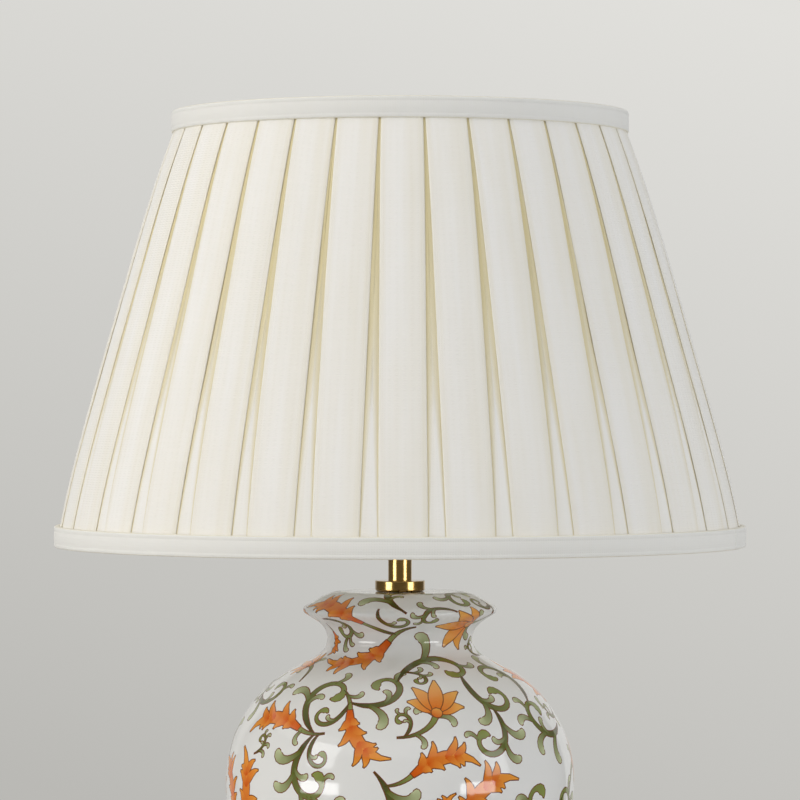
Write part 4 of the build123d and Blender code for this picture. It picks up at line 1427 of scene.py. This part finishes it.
@dataclass
class PleatedCover:
    """Box-pleated cover: flat faces over tucks, set side by side at the top and open at the bottom."""

    form: ShadeForm
    pleats: int = 34
    first_gap: float = math.radians(5.8)
    margin: float = 4.0  # of the cover behind the trims, from the shade's ends
    rows: int = 34
    cloth_thickness: float = 0.2
    bottom_gap: float = 11.0
    top_gap: float = 1.0
    gap_spread: float = 0.05  # share by which gaps are wider or narrower
    bottom_depth: float = 0.58
    top_depth: float = 0.72
    gap_edge_shade: float = 0.6  # of painted shade along a gap's edges at the bottom
    band_growth: float = 9.5  # of that band up to the top
    bottom_tuck: float = 3.0
    crown: float = 0.45
    away_side_shade: float = 0.08  # of painted shade, in the fold colour, on the side of each face that lies away from the key light
    lean: float = 0.5  # sideways, of a gap's line at mid height
    sway: float = 0.35  # of that line's wave
    sway_start: float = 6.0  # latest start of the wave, in radians
    sway_turn: float = 3.0  # of the wave from bottom to top, in radians
    slack: float = 0.35  # of the cloth out of its true shape
    slack_steps: tuple[float, float, float] = (0.35, 0.16, 7.3)  # in the noise, per point, row and pleat
    seed: int = 5

    def build(self) -> None:
        """Fold the cloth, give it its thickness and dress it."""
        hand = random.Random(self.seed)
        share = np.linspace(0, 1, self.rows)[:, None]
        height = self.margin + (self.form.height - 2 * self.margin) * share
        face_radius = self.form.cone(height) + self.form.swell * (1 - (2 * share - 1) ** 4)
        pitch = 2 * math.pi * face_radius / self.pleats
        gap = self.bottom_gap + (self.top_gap - self.bottom_gap) * share
        depth = self.bottom_depth + (self.top_depth - self.bottom_depth) * share
        cloth_width = float(pitch[0, 0]) + 4 * self.bottom_tuck
        shifts = [self.wander(hand, share) for _ in range(self.pleats)]
        offsets, radii, folds = [], [], []
        for pleat in range(self.pleats):
            here, beyond = shifts[pleat], shifts[(pleat + 1) % self.pleats]
            wider = hand.uniform(1 - self.gap_spread, 1 + self.gap_spread)
            x, inset, fold = self.section(gap * wider, depth, pitch, cloth_width, share)
            middle = self.first_gap + pleat * 2 * math.pi / self.pleats
            offsets.append(middle + (x + here + (beyond - here) * x / pitch) / face_radius)
            radii.append(face_radius - inset + self.loose(pleat, x.shape[1], share))
            folds.append(fold)
        angle, radius = np.concatenate(offsets, axis=1), np.concatenate(radii, axis=1)
        across = np.linspace(0, self.pleats * cloth_width, angle.shape[1] + 1)
        cloth = cloth_map(across, self.form.slant(0, 1) * height[:, 0])
        heights = np.broadcast_to(height, angle.shape) + self.form.base
        piece = cloth_ring("pleated_cloth", angle, radius, heights, cloth, np.concatenate(folds, axis=1))
        apply_modifier(piece, "SOLIDIFY", thickness=self.cloth_thickness * MM, offset=-1.0)
        settle(piece, "shade", "pleated_cover", COVER_CLOTH)
        length = self.form.slant(self.margin, self.form.height - self.margin)

    def wander(self, hand: random.Random, share: np.ndarray) -> np.ndarray:
        """How far one gap's line strays sideways between its ends.

        Args:
            hand: source of its random lean and wave.
            share: height of each row, 0 to 1.

        Returns:
            Millimetres at each row.
        """
        lean = hand.uniform(-self.lean, self.lean)
        wave = self.sway * np.sin(hand.uniform(0, self.sway_start) + self.sway_turn * share)
        return np.sin(math.pi * share) * (lean + wave)

    def loose(self, pleat: int, points: int, share: np.ndarray) -> np.ndarray:
        """How far one pleat's cloth stands out of its true shape between its ends.

        Args:
            pleat: the pleat's number.
            points: number of points in its section.
            share: height of each row, 0 to 1.

        Returns:
            Millimetres, rows by points.
        """
        per_point, per_row, per_pleat = self.slack_steps
        places = [[Vector((point * per_point, row * per_row, pleat * per_pleat)) for point in range(points)]
                  for row in range(self.rows)]
        waves = np.array([[noise.noise(place) for place in row] for row in places])
        return self.slack * np.sin(math.pi * share) * waves

    def section(self, gap: np.ndarray, depth: np.ndarray, pitch: np.ndarray, cloth_width: float,
                share: np.ndarray) -> tuple[np.ndarray, np.ndarray, np.ndarray]:
        """One pleat's section at every row, from the middle of its gap to the next.

        Args:
            gap: width of the gap.
            depth: depth of its floor.
            pitch: width of gap and face together.
            cloth_width: cloth that goes into one pleat.
            share: height of each row, 0 to 1.

        Returns:
            Place across, inset from the face and painted shade in the fold, rows by points.
        """
        half, middle = gap / 2, pitch / 2
        tuck = (cloth_width - pitch) / 4
        behind = half + tuck
        flat = middle - half
        band = self.gap_edge_shade + self.band_growth * share
        lit = np.maximum(half - band, 0.05 * half)  # half the floor that stays pale between the bands of painted shade
        floor_shade = np.clip(1.15 - half / band, 0, 0.9)  # deeper painted shade where the bands meet in a narrow gap
        crown = self.crown * np.sin(math.pi * np.clip(share, 0.04, 0.96)) ** 0.5  # flatter at both ends
        ones = np.ones_like(share)
        # Each point: place across, inset, and painted shade for the shadow and straw glow between the
        # layers.
        points = (
            # Floor of the gap.
            (0 * half, depth, floor_shade),
            (lit, depth, floor_shade),
            (0.5 * (lit + half), depth, 0.5 * floor_shade + 0.4),
            (0.97 * half, depth, 0.75 * ones),
            # Tuck behind the face, and back under it.
            (behind - 0.5, 0.99 * depth, 0.6 * ones),
            (behind, 0.94 * depth, 0.6 * ones),
            (behind - 0.5, 0.89 * depth, 0.5 * ones),
            (half + 0.9, 0.88 * depth, 0.4 * ones),
            # Folded edge of the face.
            (half + 0.2, 0.82 * depth, 0.2 * ones),
            (half, 0.5 * depth, 0.12 * ones),
            (half + 0.25, 0.08 * depth, 0.1 * ones),
            (half + 1.0, -0.1 * ones, 0.12 * ones),
            (half + 2.4, -0.12 - 0.2 * crown, 0.08 * ones),
            # Crowned face.
            (half + 0.3 * flat, -0.6 * crown, 0 * ones),
            (half + 0.62 * flat, -0.9 * crown, 0 * ones),
            (middle, -crown, 0 * ones),
        )
        across, inset, fold = (np.concatenate([point[n] for point in points], axis=1) for n in range(3))
        back = slice(-2, 0, -1)
        # Painted shade on the side of each face that lies away from the key light.
        warm = np.minimum(fold[:, back] + self.away_side_shade, 1)
        return (np.concatenate([across, pitch - across[:, back]], axis=1),
                np.concatenate([inset, inset[:, back]], axis=1), np.concatenate([fold, warm], axis=1))


@dataclass
class Trim:
    """Binding tape round one end of the shade, folded at both edges and turned in over the ring."""

    form: ShadeForm
    name: str
    node: str
    outer_radius: float
    end: ShadeEnd
    seam: float  # angle of the lapped end from the front
    hem: float  # how far its far edge is turned in to the cloth
    thickness: float = 1.3
    lap: float = 0.45  # height of the step at the lapped end
    lap_step: float = 0.0012  # angle of that step
    lap_reach: float = 0.06  # angle over which the lap runs out
    lap_length: float = 12.0  # of tape in the lap
    slack: float = 0.22
    ripples: float = 9.0
    face_depth: float = 1.0  # of the part that shows, from the outer radius
    face_start: float = 0.5  # and from the shade's end
    inner_shade: float = 0.3  # painted shade, in the fold colour, on what lies deeper than the next value
    inner_depth: float = 0.3
    columns: int = 260
    seed: int = 3

    def profile(self) -> list[tuple[float, float]]:
        """Closed section of the tape, from the shade's end up its face and back along its inside.

        Returns:
            Radius and height of each point, the height counted from the shade's end into the shade.
        """
        tall, leg, thick = self.form.trim_height, self.outer_radius - self.form.leg_inset, self.thickness
        face = (  # height, and how far it stands out
            (0.0, -0.9), (0.2, -0.4), (0.8, 0.0),
            (2.3, 0.1), (2.65, -0.12), (3.0, 0.0),  # stitched line
            (6.5, 0.2),
            (10.0, 0.0), (10.35, -0.12), (10.7, 0.1),  # stitched line
            (12.2, 0.05), (12.8, -0.4), (tall, -0.9),
        )
        inside = ((tall - 0.1, -self.hem), (tall - 1.6, -self.hem), (1.5, -thick))
        half = thick / 2
        turned_in = [  # radius and height
            (self.outer_radius - 2.2, thick), (leg + 1.6, thick), (leg + half, 2.0),
            (leg + half, self.form.turn_in), (leg - half, self.form.turn_in), (leg - half, 0.9),
            (leg, 0.1), (leg + 1.2, 0.0), (self.outer_radius - 1.8, 0.0),
        ]
        return [(self.outer_radius + out, up) for up, out in face + inside] + turned_in

    def build(self) -> None:
        """Wrap the tape, lap its end and dress it."""
        profile = self.profile()
        around = np.linspace(0, 2 * math.pi, self.columns, endpoint=False) - math.pi
        ends = (self.seam - self.lap_step, self.seam, self.seam + self.lap_reach / 2)
        turn = np.sort(np.concatenate([around, ends]))
        in_lap = (turn >= self.seam) & (turn < self.seam + self.lap_reach)
        lift = np.where(in_lap, self.lap * (1 - (turn - self.seam) / self.lap_reach), 0)
        radius = np.array([[r] for r, _ in profile]) + np.zeros((1, len(turn)))
        height = np.array([[h] for _, h in profile]) + np.zeros((1, len(turn)))
        on_face = (radius > self.outer_radius - self.face_depth) & (height > self.face_start)
        slack = np.array([ripple_at(a, self.ripples, self.seed) for a in turn])
        radius += np.where(on_face, lift + self.slack * slack, 0)
        # Painted shade: the tape's turned-in inside takes some of the darker colour.
        inner = self.outer_radius - self.inner_depth
        folds = np.array([[self.inner_shade if r < inner else 0.0] for r, _ in profile])
        fold = np.broadcast_to(folds, radius.shape)
        lengths = np.cumsum([0] + [math.dist(a, b) for a, b in zip(profile, profile[1:] + profile[:1])])
        across = np.append(turn, turn[0] + 2 * math.pi) * self.outer_radius
        angle = np.broadcast_to(turn, radius.shape)
        edge = 0.0 if self.end is ShadeEnd.LOWER else self.form.height
        heights = self.form.base + edge + self.end.value * height
        # At the upper end the rows run the other way round, so that the faces still point outwards.
        order = slice(None, None, self.end.value)
        piece = cloth_ring(self.name, angle[order], radius[order], heights[order],
                           cloth_map(across, lengths), fold[order], closed_rows=True)
        settle(piece, "shade", self.node, TRIM_CLOTH)


@dataclass
class Lining:
    """Lining stretched inside the frame, from ring to ring."""

    form: ShadeForm
    inset: float = 8.3
    low: float = 5.0
    high: float = 265.0
    thickness: float = 0.4
    flare: float = 2.2  # at the upper edge, out to the turned-in tape
    flare_share: float = 0.95  # height at which it starts
    flare_rows: tuple[float, ...] = (0.965, 0.98, 1.0)  # heights of the rows in it
    flare_power: float = 1.5
    ripple: float = 0.3  # of the cloth out of its true cone
    ripple_shade: float = 0.3  # painted shade, in the fold colour, on the ripples
    ripples: float = 8.0
    ripple_change: float = 1.2  # of the ripples from bottom to top
    rows: int = 18
    columns: int = 192

    def build(self) -> None:
        """Stretch the cloth, with faint upright ripples, and dress it."""
        share = np.concatenate([np.linspace(0, self.flare_share, self.rows), self.flare_rows])[:, None]
        height = self.low + (self.high - self.low) * share
        flared = np.clip((share - self.flare_share) / (1 - self.flare_share), 0, 1)
        turn = np.linspace(0, 2 * math.pi, self.columns, endpoint=False)[None, :]
        ripple = np.array([[ripple_at(a, self.ripples, s * self.ripple_change) for a in turn[0]]
                           for s in share[:, 0]])
        radius = (self.form.cone(height) - self.inset + self.flare * flared**self.flare_power
                  + self.ripple * ripple * np.sin(math.pi * share))
        angle, height = np.broadcast_to(turn, radius.shape), np.broadcast_to(height, radius.shape)
        width = 2 * math.pi * float(radius[0].mean())
        across = np.linspace(0, width, self.columns + 1)
        cloth = cloth_map(across, self.form.slant(0, 1) * height[:, 0])
        # Painted shade where the ripples bulge outwards.
        piece = cloth_ring("lining_cloth", angle, radius, height + self.form.base, cloth,
                           np.clip(ripple, 0, 1) * self.ripple_shade)
        apply_modifier(piece, "SOLIDIFY", thickness=self.thickness * MM, offset=0.0)
        settle(piece, "shade", "shade_lining", LINING_CLOTH)
        self.form.slant(self.low, self.high) * MM


@dataclass
class FeltPad:
    """Round felt pad glued under the foot."""

    radius: float = 67.0
    thickness: float = 2.0
    edge_round: float = 0.6
    edge_segments: int = 3
    inner_share: float = 3.0  # the faces are inset by the radius over this
    flat: float = 0.99  # upright part of a flat face's normal
    sharp: float = math.radians(50)  # angle from which an edge stays sharp
    sides: int = 128

    def build(self) -> None:
        """Cut the disc, soften its edge and dress it."""
        bpy.ops.object.select_all(action="DESELECT")
        thick = self.thickness * MM
        bpy.ops.mesh.primitive_cylinder_add(vertices=self.sides, radius=self.radius * MM, depth=thick,
                                            location=(0, 0, thick / 2))
        piece = bpy.context.active_object
        piece.name = piece.data.name = "felt_disc"
        bpy.ops.object.transform_apply(location=True, rotation=True, scale=True)
        bpy.ops.object.mode_set(mode="EDIT")
        bpy.ops.mesh.select_all(action="SELECT")
        bpy.ops.mesh.bevel(offset=self.edge_round * MM, segments=self.edge_segments, affect="EDGES")
        bpy.ops.object.mode_set(mode="OBJECT")
        select_faces(piece, lambda face: abs(face.normal.z) > self.flat)
        bpy.ops.mesh.inset(thickness=self.radius * MM / self.inner_share, depth=0)
        bpy.ops.mesh.poke()
        bpy.ops.object.mode_set(mode="OBJECT")
        bpy.ops.object.shade_smooth_by_angle(angle=self.sharp)
        settle(piece, "base", "felt_pad", FELT)


@dataclass
class Fittings:
    """Metal, plastic and ceramic pieces whose CAD shape stays, by what they are made of."""

    pieces: dict[Finish, tuple[str, ...]] = field(default_factory=lambda: {
        BRASS: ("rod_nut", "jar_cap", "neck_tube", "holder_base", "holder_shell", "terminal_screws",
                "screw_shell", "centre_contact", "lower_shade_ring", "upper_shade_ring"),
        ZINC: ("base_plate", "lock_washer", "tie_rod", "grub_screw"),
        LACQUERED_WIRE: ("bottom_ring", "top_ring", "frame_struts", "fitter_ring", "fitter_arms"),
        STEATITE: ("holder_insert",),
        BLACK_PLASTIC: ("cord_bush", "bulb_insulator"),
        BROWN_PLASTIC: ("switch_bar", "switch_buttons"),
        OPAL_PLASTIC: ("bulb_globe",),
        WHITE_PLASTIC: ("bulb_housing",),
        DRAWN_ALUMINIUM: ("bulb_tip", "bulb_cap", "light_board"),
        NITRILE: ("cap_gasket",),
    })

    def build(self) -> None:
        """Dress each piece in its finish."""
        for finish, names in self.pieces.items():
            material = finish.material()
            for name in names:
                dress(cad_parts[name], material)
                LOG.info("dressed %s in %s", name, finish.name)


class Reach(Enum):
    """Which surfaces a soft box acts on."""

    ALL = "matt and glossy"
    MATT = "matt"
    GLOSS = "glossy"


@dataclass(frozen=True)
class SoftBox:
    """Area light that faces the lamp: angles in degrees, lengths in metres."""

    name: str
    azimuth: float  # from the camera's side towards +X
    elevation: float
    width: float
    power: float  # watts
    height: float | None = None  # where it isn't square
    distance: float = 2.2
    reach: Reach = Reach.ALL
    colour: str = "#FFFFFF"

    def hang(self, aim: Vector) -> None:
        """Add the light to the scene.

        Args:
            aim: point that it faces.
        """
        light = bpy.data.lights.new(self.name, "AREA")
        light.shape = "RECTANGLE"
        light.size = self.width
        light.size_y = self.height or self.width
        light.energy = self.power
        light.color = linear(self.colour)[:3]
        turn, rise = math.radians(self.azimuth), math.radians(self.elevation)
        away = Vector((math.sin(turn) * math.cos(rise), -math.cos(turn) * math.cos(rise), math.sin(rise)))
        box = bpy.data.objects.new(self.name, light)
        box.location = aim + away * self.distance
        box.rotation_euler = away.to_track_quat("Z", "Y").to_euler()
        box.visible_camera = False
        box.visible_glossy = self.reach is not Reach.MATT
        box.visible_diffuse = self.reach is not Reach.GLOSS
        bpy.context.scene.collection.objects.link(box)


# Painted board: pale, matt and even.
FLOOR = Finish("Painted board, pale and matt", "#D6D4CF", 0.9)
# Cotton without gloss: a mid grey that darkens what metal and glaze mirror.
DRAPES = Finish("Dark cotton drapes", "#8F897E", 1.0)


@dataclass
class Studio:
    """Camera at the photograph's angle, soft boxes, a pale floor and a grey surround with painted light and
    shade; in metres.
    """

    distance: float = 2.4
    eye_height: float = 0.401
    frame_width: float = 0.4994  # width of the picture at the lamp's axis
    sensor: float = 36.0  # millimetres
    aim_height: float = 0.3
    floor_radius: float = 1.6
    floor_sides: int = 96
    floor_fade: tuple[float, float] = (0.45, 1.3)  # from full to nothing
    drape_radius: float = 3.4
    drape_height: float = 2.6
    drape_drop: float = 0.6  # below the floor
    drape_sides: int = 64
    drape_back: float = 2.6  # where they end behind the lamp
    wall_shade_and_light: tuple[str, str] = ("#BAB9B5", "#E1E0DC")  # painted shade at the lower left and painted light at the upper right
    wall_slant: float = 0.33
    wall_reach: float = 0.13  # from the horizon to each of the two colours
    sky_colour: str = "#F0F2F5"
    sky_strength: float = 0.46
    boxes: tuple[SoftBox, ...] = (
        SoftBox("key", -55, 22, width=0.75, power=6.0),
        SoftBox("fill", 67, 14, width=0.7, power=4.0),
        SoftBox("left_low", -55, -3, width=1.5, power=4.2, height=0.35, reach=Reach.MATT),
        SoftBox("right_low", 70, -3, width=1.5, power=3.6, height=0.35, reach=Reach.MATT),
        SoftBox("left_strip", -53, -3, width=1.05, power=8.2, height=0.35, reach=Reach.GLOSS),
        SoftBox("right_strip", 51, -3, width=0.95, power=7.2, height=0.35, reach=Reach.GLOSS),
        SoftBox("left_wash", -60, 35, width=1.8, power=16.0, distance=2.4, reach=Reach.MATT,
                colour="#FFF7EA"),
        SoftBox("right_wash", 58, 12, width=1.8, power=6.2, distance=2.4, reach=Reach.MATT,
                colour="#F8FAFF"),
        SoftBox("top_wash", 0, 78, width=1.8, power=7.0, reach=Reach.MATT),
    )

    def build(self) -> None:
        """Make the camera, lights, floor, drapes and world."""
        self.camera()
        for box in self.boxes:
            box.hang(Vector((0, 0, self.aim_height)))
        self.floor()
        self.drapes()
        self.surround()

    def camera(self) -> None:
        """Look level along +Y from in front of the lamp."""
        data = bpy.data.cameras.new("camera")
        data.sensor_width = self.sensor
        data.lens = self.sensor * self.distance / self.frame_width
        camera = bpy.data.objects.new("camera", data)
        camera.location = (0, -self.distance, self.eye_height)
        camera.rotation_euler = (math.pi / 2, 0, 0)
        bpy.context.scene.collection.objects.link(camera)
        bpy.context.scene.camera = camera

    def floor(self) -> None:
        """Lay a pale disc that fades out away from the lamp and keeps its shadow."""
        bpy.ops.object.select_all(action="DESELECT")
        bpy.ops.mesh.primitive_circle_add(vertices=self.floor_sides, radius=self.floor_radius,
                                          fill_type="NGON")
        floor = bpy.context.active_object
        floor.name = "floor"
        material, tree, shader = FLOOR.start()
        where = add_node(tree, "ShaderNodeTexCoord")
        away = add_node(tree, "ShaderNodeVectorMath", {"operation": "LENGTH"}, n0=where.outputs["Object"])
        near, far = self.floor_fade
        fade = add_node(tree, "ShaderNodeMapRange", {"interpolation_type": "SMOOTHSTEP"},
                        Value=away.outputs["Value"], From_Min=near, From_Max=far, To_Min=1.0, To_Max=0.0)
        tree.links.new(fade.outputs[0], shader.inputs["Alpha"])
        dress(floor, material)

    def drapes(self) -> None:
        """Hang drapes round all but the back, which only gloss sees, so that metal keeps its contrast."""
        bpy.ops.object.select_all(action="DESELECT")
        middle = self.drape_height / 2 - self.drape_drop
        bpy.ops.mesh.primitive_cylinder_add(vertices=self.drape_sides, radius=self.drape_radius,
                                            depth=self.drape_height, end_fill_type="NOTHING",
                                            location=(0, 0, middle))
        drapes = bpy.context.active_object
        drapes.name = "drapes"
        select_faces(drapes, lambda face: face.center.y > self.drape_back)
        bpy.ops.mesh.delete(type="FACE")
        bpy.ops.object.mode_set(mode="OBJECT")
        dress(drapes, DRAPES.material())
        drapes.visible_camera = drapes.visible_diffuse = drapes.visible_shadow = False

    def surround(self) -> None:
        """Set a soft grey wall with painted shade and light for the camera and mirrors to see, and a plain
        sky that lights the lamp.
        """
        world = bpy.data.worlds.new("studio")
        bpy.context.scene.world = world
        world.use_nodes = True
        tree = world.node_tree
        tree.nodes.clear()
        rays = add_node(tree, "ShaderNodeLightPath")
        seen = rays.outputs["Is Camera Ray"]
        for kind in ("Is Glossy Ray", "Is Transmission Ray"):
            either = add_node(tree, "ShaderNodeMath", {"operation": "MAXIMUM"}, n0=seen,
                              n1=rays.outputs[kind])
            seen = either.outputs[0]
        where = add_node(tree, "ShaderNodeTexCoord")
        parts = add_node(tree, "ShaderNodeSeparateXYZ", Vector=where.outputs["Generated"])
        slant = add_node(tree, "ShaderNodeMath", {"operation": "MULTIPLY_ADD"}, n0=parts.outputs["X"],
                         n1=self.wall_slant, n2=parts.outputs["Z"])
        share = add_node(tree, "ShaderNodeMapRange", Value=slant.outputs[0], From_Min=-self.wall_reach,
                         From_Max=self.wall_reach)
        dark, pale = (linear(colour) for colour in self.wall_shade_and_light)
        wall = add_node(tree, "ShaderNodeMix", {"data_type": "RGBA"}, Factor=share.outputs[0], n6=dark,
                        n7=pale)
        shown = add_node(tree, "ShaderNodeBackground", Color=wall.outputs[2], Strength=1.0)
        light = add_node(tree, "ShaderNodeBackground", Color=linear(self.sky_colour),
                         Strength=self.sky_strength)
        both = add_node(tree, "ShaderNodeMixShader", n0=seen, n1=light.outputs[0], n2=shown.outputs[0])
        add_node(tree, "ShaderNodeOutputWorld", Surface=both.outputs[0])
        bpy.context.scene.view_settings.view_transform = "Standard"


def main() -> None:
    """Build the lamp's looks piece by piece."""
    logging.basicConfig(level=logging.INFO, format="%(name)s: %(message)s")
    Studio().build()
    Fittings().build()
    PorcelainJar().build()
    FeltPad().build()
    form = ShadeForm()
    PleatedCover(form).build()
    Trim(form, "lower_binding", "bottom_trim", form.bottom_radius, ShadeEnd.LOWER,
         seam=math.radians(71), hem=3.7).build()
    Trim(form, "upper_binding", "top_trim", form.top_radius, ShadeEnd.UPPER,
         seam=math.radians(150), hem=1.4).build()
    Lining(form).build()


if __name__ == "__main__":
    main()
